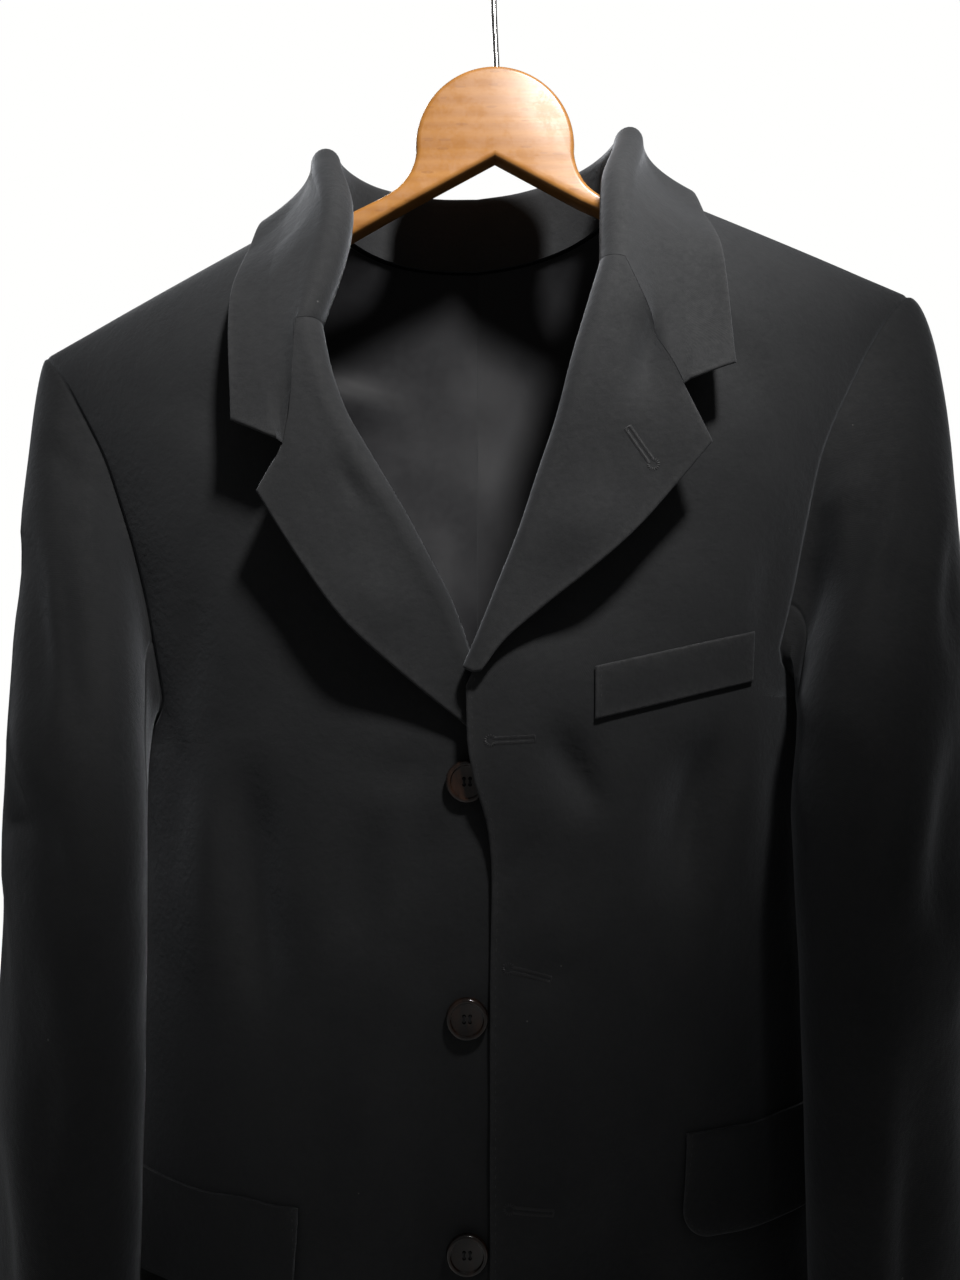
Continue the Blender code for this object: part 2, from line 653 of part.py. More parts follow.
    def collar_grid(self, front, front_normals, back, back_normals, lapel, lapel_normals):
        """This half of the collar and its normals: rows from the gorge to the centre back."""
        line, facing = self.neckline(front, front_normals, back, back_normals)
        run = lengths_along(line)
        run = run / run[-1]
        shares = np.linspace(0, 1, COLLAR_HALF + 1) ** RING_GATHER
        seam = np.stack([np.interp(shares, run, line[:, i]) for i in range(3)], 1)
        facing = unit(np.stack([np.interp(shares, run, facing[:, i]) for i in range(3)], 1))
        end = self.collar_end(lapel)
        table = np.array(COLLAR)
        gorge_fold = (end[STAND_STEPS] + end[STAND_STEPS + ROLL_STEPS]) / 2
        table[0, 1:4] = gorge_fold
        table[0, 4:7] = end[-1]
        read = curve_through(table, shares)
        fold, edge, radius, turn = read[:, :3], read[:, 3:6], read[:, 6:7], np.radians(read[:, 7:8])
        path = unit(np.gradient(fold, axis=0))
        out = np.concatenate([np.cos(turn), np.sin(turn), np.zeros_like(turn)], 1)
        out = unit(out - path * np.sum(out * path, 1, keepdims=True))
        up = np.cross(out, path)
        seam_path = unit(np.gradient(seam, axis=0))
        inwards = unit(np.cross(seam_path, facing))
        inwards *= np.sign(np.sum(inwards * [[-1.0, 0, 0.6]], 1, keepdims=True))
        rise = np.clip(np.sum(up * facing, 1, keepdims=True), 0, 1)
        level = np.sqrt(1 - rise**2)
        foot = seam + inwards * (SEAM * 2 + WALL * rise) - facing * WALL * np.maximum(level, 0.5)
        rows = []
        for i in range(len(shares)):
            inner, outer = fold[i] - out[i] * radius[i], fold[i] + out[i] * radius[i]
            climb = np.linspace(0, 1, STAND_STEPS + 1)[:, None]
            stand = foot[i] + (inner - foot[i]) * climb
            turns = np.radians(np.linspace(0, 180, ROLL_STEPS + 1))[1:, None]
            roll = fold[i] - out[i] * radius[i] * np.cos(turns) + up[i] * radius[i] * np.sin(turns)
            rows.append(np.concatenate([stand, roll, self.collar_fall(outer, edge[i], up[i])[1:]]))
        grid = np.array(rows)
        fade = (np.clip(1 - shares / END_FADE, 0, 1) ** 1.5)[:, None, None]
        grid = grid + fade * (end - grid[0])
        normals = grid_normals(grid, -1)
        joined = ROLL_STEPS + GORGE_STEPS + 1
        normals[0, :STAND_STEPS] = lapel_normals[-1, 0]
        normals[0, STAND_STEPS:STAND_STEPS + joined] = lapel_normals[-1, :joined]
        normals[-1, :, 0] = 0
        return grid, unit(normals)

    def collar_fall(self, start, end, up):
        """One row of the collar's fall, from the end of its fold to its outer edge."""
        across = np.concatenate([
            np.linspace(0, NOTCH_SHARE, GORGE_STEPS + 1),
            np.linspace(NOTCH_SHARE, 1, TIP_STEPS + 1)[1:],
        ])[:, None]
        knee = start - up * FALL_ARCH * np.linalg.norm(end - start)
        return start * (1 - across) ** 2 + 2 * knee * across * (1 - across) + end * across**2

    def collar_end(self, lapel):
        """The collar's end row, along the lapel's top edge to the notch, then out to its corner."""
        top, under = lapel[-1], lapel[-2]
        sewn = slice(ROLL_STEPS + GORGE_STEPS + 1)
        joined = top[sewn] + unit(top[sewn] - under[sewn]) * GORGE_GAP
        past = np.linspace(*STAND_ENDS, STAND_STEPS)[:, None]
        stand = np.repeat(joined[:1], STAND_STEPS, axis=0) - unit(joined[1] - joined[0]) * past
        notch = joined[-1]
        out = np.linspace(0, 1, TIP_STEPS + 1)[1:, None]
        line = notch[[0, 2]] + (np.asarray(self.corner) - notch[[0, 2]]) * out
        chest = self.front.at(line[:, 0], line[:, 1])
        chest[:, 1] -= LAPEL_STAND[1]
        return np.concatenate([stand, joined, chest])

    def sleeve_grid(self, front, front_normals, back, back_normals):
        """The sleeve's outer points and normals, rows from the armhole to the cuff, columns round."""
        rows = slice(SKIRT_ROWS, None)
        ring, facing, out = [], [], []
        for grid, normals, turn in ((front, front_normals, 1), (back, back_normals, -1)):
            edge, normal = grid[rows, -1], normals[rows, -1]
            away = turn * unit(np.cross(unit(np.gradient(edge, axis=0)), normal))
            order = slice(None, 0, -1) if turn > 0 else slice(0, -1)
            ring.append(edge[order])
            facing.append(normal[order])
            out.append(away[order])
        ring, facing, out = np.concatenate(ring), np.concatenate(facing), np.concatenate(out)
        count = len(ring)
        shares = np.arange(count) / count
        turns = curve_through(SLEEVE_TURNS, shares)
        beta, flare = np.radians(turns[:, 0]), turns[:, 1:2]
        start = ring + out * SLEEVE_SEAM
        end = self.sleeve_ring(self.sleeve_table[0][0], beta)
        span = np.linalg.norm(end - start, axis=1, keepdims=True)
        leave = unit(out + facing * flare) * (self.pull[0] + self.pull[1] * span)
        arrive = np.array([0, 0, -HANG_PULL]) * span
        grid = []
        for t in np.linspace(0, 1, HEAD_RINGS + 1) ** RING_GATHER:
            grid.append(
                start * (1 + 2 * t) * (1 - t) ** 2
                + leave * t * (1 - t) ** 2
                + end * t * t * (3 - 2 * t)
                + arrive * t * t * (t - 1)
            )
        low, high = self.sleeve_table[-1][0], self.sleeve_table[0][0]
        for height in np.linspace(high, low, ARM_RINGS + 1)[1:]:
            grid.append(self.sleeve_ring(height, beta))
        grid = np.array(grid)
        closed = np.concatenate([grid[:, -1:], grid, grid[:, :1]], 1)
        normals = grid_normals(closed, 1)[:, 1:-1]
        middle = grid.mean(1, keepdims=True)
        normals *= np.sign(np.sum(normals * (grid - middle)))
        normals[0] = facing
        facing_back = smooth_step(-0.1, 0.5, normals[..., 1])
        dip = fold_depth(grid[..., 0], grid[..., 2], self.sleeve_folds) * (1 - facing_back)
        dip = dip + fold_depth(grid[..., 0], grid[..., 2], BACK_SLEEVE_FOLDS) * facing_back
        dip = dip * smooth_step(0, FOLD_FADE, self.clear_of_body(grid))
        grid = grid - normals * dip[..., None]
        return grid, normals

    def clear_of_body(self, grid):
        """How far outside the body's side, or in front of its middle, each point of a sleeve is."""
        outside = grid[..., 0] - curve_through(BODY, grid[..., 2])[..., 0]
        return np.maximum(outside, -grid[..., 1] - FOLD_FRONT) + FOLD_ADDED

    def sleeve_ring(self, height, beta):
        """One level ring of the sleeve below the armpit."""
        table = np.array(self.sleeve_table)[::-1]
        reach, depth, long, short, turn = curve_through(table, height)
        turn, power = math.radians(turn), 2 / SLEEVE_ROUND
        along = long * np.sign(np.cos(beta)) * np.abs(np.cos(beta)) ** power
        aside = short * np.sign(np.sin(beta)) * np.abs(np.sin(beta)) ** power
        return np.stack([
            reach + along * math.sin(turn) - aside * math.cos(turn),
            depth + along * math.cos(turn) + aside * math.sin(turn),
            np.full_like(beta, height),
        ], 1)

    def patch(self, heights, starts, lengths, columns):
        """Points on the front at distances round from the centre line, one row for each height."""
        rows = []
        for height, start, length in zip(heights, starts, lengths):
            levels = np.broadcast_to(height, (columns + 1,))
            wanted = start + length * np.linspace(0, 1, columns + 1)
            row = []
            for level, distance in zip(levels, wanted):
                section = self.front.point(np.linspace(math.pi / 2, 0, DENSE), np.full(DENSE, level))
                run = lengths_along(section)
                row.append([np.interp(distance, run, section[:, i]) for i in range(3)])
            rows.append(row)
        return np.array(rows)


LEFT = Half(
    "left", 1, LEFT_EDGE, LEFT_ARMHOLE, LEFT_ROLL, LEFT_LAPEL, LEFT_NOTCH, LEFT_COLLAR_CORNER,
    LEFT_SLEEVE, LEFT_PULL, LEFT_FOLDS, LEFT_SLEEVE_FOLDS, PROUD,
)
RIGHT = Half(
    "right", -1, RIGHT_EDGE, RIGHT_ARMHOLE, RIGHT_ROLL, RIGHT_LAPEL, RIGHT_NOTCH, RIGHT_COLLAR_CORNER,
    RIGHT_SLEEVE, RIGHT_PULL, RIGHT_FOLDS, RIGHT_SLEEVE_FOLDS, None,
)


def material(name, colour, roughness, metallic=0.0):
    """A plain material of one finish."""
    made = bpy.data.materials.new(name)
    made.use_nodes = True
    shader = made.node_tree.nodes["Principled BSDF"]
    shader.inputs["Base Color"].default_value = (*colour, 1)
    shader.inputs["Roughness"].default_value = roughness
    shader.inputs["Metallic"].default_value = metallic
    return made


def add_object(name, mesh, finish):
    """A named object from a bmesh, shaded smooth but for its sharp edges."""
    bmesh.ops.recalc_face_normals(mesh, faces=mesh.faces)
    data = bpy.data.meshes.new(name)
    mesh.to_mesh(data)
    mesh.free()
    data.shade_smooth()
    data.set_sharp_from_angle(angle=math.radians(50))
    data.materials.append(finish)
    made = bpy.data.objects.new(name, data)
    bpy.context.collection.objects.link(made)
    return made


def add_wall(name, outer, inner, finish):
    """A closed wall between two grids of points of one size."""
    rows, columns = outer.shape[:2]
    mesh = bmesh.new()
    bmesh.ops.create_grid(mesh, x_segments=columns - 1, y_segments=rows - 1, size=0.5)
    place = mesh.verts.layers.int.new("place")
    for index, vertex in enumerate(mesh.verts):
        vertex[place] = index
        vertex.co = outer.reshape(-1, 3)[index]
    made = bmesh.ops.extrude_face_region(mesh, geom=mesh.faces[:])["geom"]
    for vertex in made:
        if isinstance(vertex, bmesh.types.BMVert):
            vertex.co = inner.reshape(-1, 3)[vertex[place]]
    return add_object(name, mesh, finish)


def build_half(half, cloth):
    """The front, back, lapel and sleeve of one half. Returns what the collar is worked out from."""
    front, back = half.front_grid(), half.back_grid()
    front_normals = half.body_normals(half.front, front, 1)
    back_normals = half.body_normals(half.back, back, -1)
    add_wall(f"front_{half.name}", half.hang(front), half.hang(front - WALL * front_normals), cloth)
    add_wall(f"back_{half.name}", half.hang(back), half.hang(back - WALL * back_normals), cloth)
    lapel = half.lapel_grid(front, front_normals)
    lapel_normals = grid_normals(lapel, -1)
    add_wall(f"lapel_{half.name}", half.hang(lapel), half.hang(lapel - WALL * lapel_normals), cloth)
    sleeve, sleeve_normals = half.sleeve_grid(front, front_normals, back, back_normals)
    count = sleeve.shape[1]
    top = [k % count for k in range(BACK_SEAM, count + FRONT_SEAM + 1)]
    under = list(range(FRONT_SEAM, BACK_SEAM + 1))
    for part, columns in (("top", top), ("under", under)):
        outer, normals = sleeve[:, columns].copy(), sleeve_normals[:, columns]
        outer[:, 0] += unit(outer[:, 1] - outer[:, 0]) * SEAM / 2
        outer[:, -1] += unit(outer[:, -2] - outer[:, -1]) * SEAM / 2
        inner = outer - WALL * normals
        add_wall(f"sleeve_{part}_{half.name}", half.hang(outer), half.hang(inner), cloth)
    return half.collar_grid(front, front_normals, back, back_normals, lapel, lapel_normals)


def build_collar(left, right, cloth):
    """The collar from both halves, as one wall."""
    outer, inner = [], []
    for half, (grid, normals) in ((LEFT, left), (RIGHT, right)):
        outer.append(half.hang(grid))
        inner.append(half.hang(grid - WALL * normals))
    outer = np.concatenate([outer[0], outer[1][-2::-1]])
    inner = np.concatenate([inner[0], inner[1][-2::-1]])
    add_wall("collar", outer, inner, cloth)


def build_welt(cloth):
    """The chest welt, laid on the left front."""
    columns, rows = 6, 2
    across = np.linspace(0, 1, columns + 1)
    grid = []
    for share in np.linspace(0, 1, rows + 1):
        heights = WELT_HEIGHT + WELT_RISE * across + WELT_BREADTH * share
        points = [
            LEFT.patch([height], [WELT_START + WELT_LENGTH * step], [0.0], 0)[0, 0]
            for height, step in zip(heights, across)
        ]
        grid.append(points)
    grid = np.array(grid)
    normals = grid_normals(grid, 1)
    under = grid + normals * REST_GAP
    add_wall("chest_welt", LEFT.hang(under + normals * WELT_THICK), LEFT.hang(under), cloth)


def build_flap(half, begin, top, cloth):
    """A hip flap with a round front corner, laid on a front."""
    columns, rows = 8, 3
    across = np.linspace(0, 1, columns + 1) ** FLAP_GATHER
    distance = across * FLAP_LENGTH
    inside = np.clip(FLAP_CORNER - distance, 0, FLAP_CORNER)
    bottom = top - FLAP_BREADTH + FLAP_CORNER - np.sqrt(FLAP_CORNER**2 - inside**2) * 0.999
    grid = []
    for share in np.linspace(0, 1, rows + 1):
        heights = bottom + (top - bottom) * share
        grid.append([
            half.patch([height], [begin + step], [0.0], 0)[0, 0]
            for height, step in zip(heights, distance)
        ])
    grid = np.array(grid)
    normals = grid_normals(grid, 1)
    lift = np.linspace(FLAP_LIFT, 0, rows + 1)[:, None, None] + REST_GAP
    under = grid + normals * lift
    add_wall(f"flap_{half.name}", half.hang(under + normals * FLAP_THICK), half.hang(under), cloth)


def build_button(number, height, horn):
    """A button with a raised rim, turned about its own axis and laid on the lower front."""
    seat = RIGHT.front.at(BUTTON_REACH, height)
    place = RIGHT.hang(seat)
    rim = BUTTON_RADIUS - BUTTON_RIM
    profile = (
        (0.0, 0.0),
        (BUTTON_RADIUS * 0.80, 0.0),
        (BUTTON_RADIUS, BUTTON_THICK * 0.45),
        (BUTTON_RADIUS * 0.93, BUTTON_THICK * 0.92),
        (BUTTON_RADIUS * 0.84, BUTTON_THICK),
        (rim, BUTTON_THICK - BUTTON_DISH),
        (0.0, BUTTON_THICK - BUTTON_DISH * 1.2),
    )
    mesh = bmesh.new()
    line = [mesh.verts.new((radius, -rise, 0)) for radius, rise in profile]
    edges = [mesh.edges.new(pair) for pair in zip(line, line[1:])]
    bmesh.ops.spin(
        mesh, geom=line + edges, cent=(0, 0, 0), axis=(0, 1, 0), angle=math.tau,
        steps=BUTTON_STEPS, use_merge=True,
    )
    bmesh.ops.remove_doubles(mesh, verts=mesh.verts, dist=1e-6)
    made = add_object(f"button_{number}", mesh, horn)
    made.location = (place[0], place[1] - BUTTON_GAP, place[2])


def arm_top(side, aside):
    """Height of an arm's upper edge at a distance aside: just under the shoulder's cloth."""
    reach = aside - side.sign * CENTRE
    body = curve_through(BODY, ridge(reach))
    angle = side.front.angle(reach, ridge(reach))
    share = np.sin(angle) ** (2 / FRONT_ROUNDS[1])
    depth = np.abs(body[..., 1] * share)
    sag = ROUND_DROP * (1 - np.sqrt(1 - (BOARD_THICK / 2 / depth) ** 2))
    level = side.sign * SHOULDER_LIFT * reach / SHOULDER_REACH
    return ridge(reach) + level - sag - ARM_SINK


def build_board(wood):
    """The hanger's board: an outline of arcs and straight arms, extruded and eased."""
    turns = np.radians(np.linspace(-HEAD_TURN, HEAD_TURN, 19))
    head = np.stack([np.sin(turns), np.cos(turns)], 1) * HEAD_RADIUS + (0, HEAD_HEIGHT)
    sides = []
    for half in (RIGHT, LEFT):
        inner = float(arm_top(half, ARM_INNER)) - ARM_GAPS[0]
        outer = float(arm_top(half, ARM_END)) - ARM_GAPS[1]
        slope = (outer - inner) / (ARM_END - ARM_INNER)
        steep = math.atan(slope)
        head_end = head[-1]
        start = np.array([ARM_INNER, inner])
        flare = head_end[0] + HEAD_FLARE
        bend = np.array([flare, inner - slope * (ARM_INNER - flare)])
        shares = np.linspace(0, 1, 5)[1:, None]
        hollow = head_end * (1 - shares) ** 2 + 2 * bend * shares * (1 - shares) + start * shares**2
        tip_radius = ARM_TIP / 2
        tip_centre = np.array([ARM_END, outer]) + tip_radius * np.array([math.sin(steep), -math.cos(steep)])
        turns = steep + np.radians(np.linspace(90, -90, 7))
        tip = tip_centre + tip_radius * np.stack([np.cos(turns), np.sin(turns)], 1)
        low = np.array([ARM_INNER * NOTCH_END, NOTCH_HEIGHT - ARM_INNER * NOTCH_END * NOTCH_FALL])
        side = [*hollow, *tip, low]
        sides.append([(half.sign * x, z) for x, z in side])
    right, left = sides
    outline = [*head, *left, (0.0, NOTCH_HEIGHT), *right[::-1]]
    mesh = bmesh.new()
    ring = [mesh.verts.new((x, -BOARD_THICK / 2, z)) for x, z in outline]
    face = mesh.faces.new(ring)
    made = bmesh.ops.extrude_face_region(mesh, geom=[face])["geom"]
    moved = [item for item in made if isinstance(item, bmesh.types.BMVert)]
    bmesh.ops.translate(mesh, verts=moved, vec=(0, BOARD_THICK, 0))
    board = add_object("hanger_board", mesh, wood)
    ease = board.modifiers.new("ease", "BEVEL")
    ease.width = BOARD_EASE
    ease.segments = 2
    ease.limit_method = "ANGLE"
    ease.angle_limit = math.radians(60)


def build_hook(steel):
    """The wire hook: a straight stem from the board, a bend aside, and the open crook."""
    centre = WIRE_RADIUS - CROOK_RADIUS
    stem_foot = HEAD_HEIGHT + HEAD_RADIUS + REST_GAP
    crook = [
        (CROOK_RADIUS * math.cos(turn), centre + CROOK_RADIUS * math.sin(turn))
        for turn in np.radians(np.linspace(*CROOK_TURNS, 22))
    ]
    stem = [(0.0010, stem_foot), (-0.0005, stem_foot + 0.030), (-0.0008, -0.0520)]
    corners = [stem[-1], (0.0008, -0.0450), (0.0085, -0.0375), crook[0]]
    bend = smooth_line(corners, np.linspace(0, 1, 9)[1:-1])
    points = [*stem, *bend, *crook]
    data = bpy.data.curves.new("hanger_hook", "CURVE")
    data.dimensions = "3D"
    data.bevel_depth = WIRE_RADIUS
    data.bevel_resolution = 2
    data.use_fill_caps = True
    spline = data.splines.new("POLY")
    spline.points.add(len(points) - 1)
    for point, (x, z) in zip(spline.points, points):
        point.co = (x, 0, z, 1)
    data.materials.append(steel)
    made = bpy.data.objects.new("hanger_hook", data)
    bpy.context.collection.objects.link(made)


def main():
    """Builds every piece."""
    for item in list(bpy.data.objects):
        bpy.data.objects.remove(item, do_unlink=True)
    wool = material("wool_black", (0.018, 0.018, 0.020), 0.85)
    horn = material("button_horn", (0.030, 0.016, 0.012), 0.18)
    wood = material("hanger_wood", (0.720, 0.400, 0.170), 0.45)
    steel = material("hook_steel", (0.700, 0.700, 0.700), 0.22, 1.0)
    collars = [build_half(half, wool) for half in (LEFT, RIGHT)]
    build_collar(*collars, wool)
    build_welt(wool)
    build_flap(LEFT, LEFT_FLAP_START, LEFT_FLAP_HEIGHT, wool)
    build_flap(RIGHT, RIGHT_FLAP_START, RIGHT_FLAP_HEIGHT, wool)
    for number, height in enumerate(BUTTON_HEIGHTS, 1):
        build_button(number, height, horn)
    build_board(wood)
    build_hook(steel)


if __name__ == "__main__":
    main()
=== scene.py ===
"""The looks of a black wool blazer that hangs open on its wooden hanger.

Each piece of cloth is a thin closed wall on the form of the solid that it stands for, with the
jacket's smaller creases, sunk seams, rounded edges and its sewing. The grids are worked out in the
measures of one half of the jacket: reach from the centre line towards that half's own side, depth
from the hanger's plane (negative in front) and height above the hook's hold. Each half is then hung
in place. Sizes are in metres, but in millimetres in the rows of metres() and creases(). Angles are
in degrees. +X is the wearer's left, -Y the front, +Z up.
"""

import logging
import math
from abc import ABC, abstractmethod
from collections.abc import Callable, Sequence
from dataclasses import dataclass, field
from enum import Enum

import bmesh
import bpy
import numpy as np
from mathutils import Matrix, Vector
from mathutils.bvhtree import BVHTree


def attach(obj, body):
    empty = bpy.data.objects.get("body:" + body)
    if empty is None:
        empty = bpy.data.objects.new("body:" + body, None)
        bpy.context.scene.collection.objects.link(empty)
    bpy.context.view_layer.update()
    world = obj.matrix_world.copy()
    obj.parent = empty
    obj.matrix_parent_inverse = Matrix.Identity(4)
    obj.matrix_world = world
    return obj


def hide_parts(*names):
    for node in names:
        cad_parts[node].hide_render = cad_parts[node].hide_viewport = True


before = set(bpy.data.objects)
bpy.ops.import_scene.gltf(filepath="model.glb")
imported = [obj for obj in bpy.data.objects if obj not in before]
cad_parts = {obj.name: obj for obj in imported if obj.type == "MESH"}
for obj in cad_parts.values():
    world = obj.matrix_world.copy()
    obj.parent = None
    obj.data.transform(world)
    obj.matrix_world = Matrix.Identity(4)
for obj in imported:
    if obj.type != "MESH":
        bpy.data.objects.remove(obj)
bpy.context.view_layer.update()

LOG = logging.getLogger("blazer")
Array = np.ndarray
Grid = tuple[Array, Array]  # points and normals
Material = bpy.types.Material
Object = bpy.types.Object
Pair = tuple[float, float]
Triple = tuple[float, float, float]
Table = tuple[tuple[float, ...], ...]

WALL = 0.0022  # how thick the cloth is
REST_GAP = 0.0003  # the gap between pieces that lie on each other
CENTRE = -0.0095  # X of the jacket's centre line, which hangs a little aside of the hook
SHOULDER_LIFT, SHOULDER_REACH = 0.0165, 0.230  # how far a shoulder point is up or down, and out
DENSE = 241  # points on a curve that is only read
CREASE_GAIN = 1.80  # how many times deeper the creases are than their rows say
CREASE_TAPER = 1.5  # how early a crease fades out towards its ends
TINY = 1e-12


class Side(Enum):
    """A half of the jacket, as the wearer has it, with the sign of its X."""

    LEFT = 1
    RIGHT = -1


def metres(*rows: tuple[float, ...]) -> Table:
    """Rows of millimetres, in metres."""
    return tuple(tuple(round(number / 1000, 6) for number in row) for row in rows)


def between(first: Array | float, last: Array | float, share: Array | float) -> Array | float:
    """What lies at a share of the way from the first to the last."""
    return first + (last - first) * share


def even(count: int) -> Array:
    """Shares from 0 to 1 in a count of even steps."""
    return np.linspace(0, 1, count + 1)


def smooth_step(low: float, high: float, value: Array | float) -> Array:
    """0 up to low, 1 from high on, and smooth between them."""
    share = np.clip((np.asarray(value, float) - low) / (high - low), 0, 1)
    return share * share * (3 - 2 * share)


def smooth_way(first: Array, leave: Array, last: Array, arrive: Array, t: Array | float) -> Array:
    """Points at shares t of the curve from first to last, whose slopes there are leave and arrive."""
    ends = first * (1 + 2 * t) * (1 - t) ** 2 + last * t * t * (3 - 2 * t)
    return ends + leave * t * (1 - t) ** 2 + arrive * t * t * (t - 1)


def bent_way(first: Array, knee: Array, last: Array, t: Array) -> Array:
    """Points at shares t of the curve from first to last that heads for the knee between them."""
    return first * (1 - t) ** 2 + 2 * knee * t * (1 - t) + last * t**2


def steady_slopes(keys: Array, values: Array) -> Array:
    """Slopes at a table's rows that never carry its curve past them.

    Args:
        keys: The rows' keys.
        values: The values there.

    Returns:
        The values' slopes at each row.
    """
    rises = np.diff(values, axis=0) / np.diff(keys)[:, None]
    before, after = rises[:-1], rises[1:]
    total = np.where(np.abs(before + after) < TINY, 1.0, before + after)
    inner = np.where(before * after > 0, 2 * before * after / total, 0.0)
    return np.concatenate([rises[:1], inner, rises[-1:]])


def round_slopes(keys: Array, values: Array) -> Array:
    """Slopes at a table's rows for the roundest curve through them."""
    return np.gradient(values, keys, axis=0)


def curve_through(
    table: Table | Array,
    at: Array | float,
    slopes_of: Callable[[Array, Array], Array] = steady_slopes,
) -> Array:
    """Reads a table on a smooth curve through its rows.

    Args:
        table: Rows of a key and the values there, by rising key.
        at: Keys at which to read it.
        slopes_of: Gives the curve's slopes at the rows.

    Returns:
        The values at each key, along the last axis.
    """
    table = np.asarray(table, float)
    keys, values = table[:, 0], table[:, 1:]
    slopes = slopes_of(keys, values)
    at = np.clip(np.asarray(at, float), keys[0], keys[-1])
    low = np.clip(np.searchsorted(keys, at, side="right") - 1, 0, len(keys) - 2)
    step = keys[low + 1] - keys[low]
    t, step = ((at - keys[low]) / step)[..., None], step[..., None]
    return smooth_way(values[low], slopes[low] * step, values[low + 1], slopes[low + 1] * step, t)


def lengths_along(points: Array) -> Array:
    """Distance along a line of points from its first one to each."""
    steps = np.linalg.norm(np.diff(points, axis=0), axis=1)
    return np.concatenate([[0.0], np.cumsum(steps)])


def read_along(run: Array, points: Array, wanted: Array | float) -> Array:
    """Points of a line at wanted distances, where run gives the distance of each of its points."""
    return np.stack([np.interp(wanted, run, points[:, i]) for i in range(points.shape[1])], -1)


def spaced(points: Array, shares: Array) -> Array:
    """Points at the given shares of a line's length."""
    run = lengths_along(points)
    return read_along(run, points, np.asarray(shares) * run[-1])


def smooth_line(points: Sequence[Sequence[float]], shares: Array) -> Array:
    """Points at shares of the length of a smooth curve through a few points."""
    points = np.asarray(points, float)
    table = np.column_stack([lengths_along(points), points])
    return spaced(curve_through(table, np.linspace(0, table[-1, 0], DENSE), round_slopes), shares)


def gathered(count: int, pull: float) -> Array:
    """Shares from 0 to 1 that lie closer together towards 1."""
    shares = even(count)
    return shares + pull * np.sin(math.pi * shares) / math.pi


def softened(points: Array, times: int) -> Array:
    """A line of points, each drawn a number of times towards its neighbours, with both ends held."""
    points = points.copy()
    for _ in range(times):
        points[1:-1] = (points[:-2] + 2 * points[1:-1] + points[2:]) / 4
    return points


def unit(vectors: Array) -> Array:
    """Vectors brought to length 1."""
    vectors = np.asarray(vectors, float)
    return vectors / np.maximum(np.linalg.norm(vectors, axis=-1, keepdims=True), TINY)


def grid_normals(points: Array, sign: float) -> Array:
    """The normal at each point of a grid, to the side that the sign picks."""
    down, across = np.gradient(points, axis=0), np.gradient(points, axis=1)
    return sign * unit(np.cross(across, down))


@dataclass(frozen=True)
class Crease:
    """A soft trough in the cloth, or a ridge where its depth is below zero.

    Attributes:
        reach0, height0, reach1, height1: Its two ends.
        half_width: How far from its line it has faded to about a third.
        depth: How far the cloth dips where it dips most.
        bow: How far its middle is bent aside.
        peak: Share of its length at which it is deepest.
        lean: How much wider one flank is than the other, from -1 to 1.
    """

    reach0: float
    height0: float
    reach1: float
    height1: float
    half_width: float
    depth: float
    bow: float = 0.0
    peak: float = 0.5
    lean: float = 0.0

    def dip(self, reach: Array, height: Array) -> Array:
        """How far the cloth dips at each point.

        Args:
            reach: Reach of the points.
            height: Height of the points.

        Returns:
            The depth of this crease there.
        """
        run = np.array([self.reach1 - self.reach0, self.height1 - self.height0])
        length = np.hypot(*run)
        out, rise = reach - self.reach0, height - self.height0
        along = np.clip((out * run[0] + rise * run[1]) / length**2, 0, 1)
        aside = (out * run[1] - rise * run[0]) / length - self.bow * 4 * along * (1 - along)
        eased = along ** (math.log(0.5) / math.log(self.peak))
        taper = np.clip(1 - (2 * eased - 1) ** 2, 0, 1) ** CREASE_TAPER
        width = self.half_width * (1 + self.lean * np.tanh(aside / self.half_width))
        return self.depth * taper * np.exp(-((aside / width) ** 2))


def creases(*rows: tuple[float, ...]) -> tuple[Crease, ...]:
    """Creases from rows of their sizes in millimetres, and then the peak's share."""
    return tuple(Crease(*metres(row[:7])[0], *row[7:]) for row in rows)


def creased(reach: Array, height: Array, found: Sequence[Crease]) -> Array:
    """How far several creases dip together at each point."""
    level = np.zeros(np.broadcast(reach, height).shape)
    return sum((crease.dip(reach, height) for crease in found), level) * CREASE_GAIN


@dataclass(frozen=True)
class Unevenness:
    """The slight waviness of pressed wool, as a sum of long waves that never line up.

    Attributes:
        waves: Rows of turn of the wave's way, wavelength, height and start angle.
    """

    waves: Table = (
        (12.0, 0.083, 0.00030, 20.0),
        (74.0, 0.061, 0.00022, 140.0),
        (128.0, 0.047, 0.00017, 250.0),
        (158.0, 0.110, 0.00034, 75.0),
        (41.0, 0.036, 0.00010, 310.0),
    )

    def dip(self, reach: Array, height: Array) -> Array:
        """How far the cloth dips at each point.

        Args:
            reach: Reach of the points.
            height: Height of the points.

        Returns:
            The waves' depth there.
        """
        total = np.zeros(np.broadcast(reach, height).shape)
        for turn, length, rise, start in self.waves:
            along = reach * math.cos(math.radians(turn)) + height * math.sin(math.radians(turn))
            total += rise * np.sin(along * math.tau / length + math.radians(start))
        return total


WAVES = Unevenness()


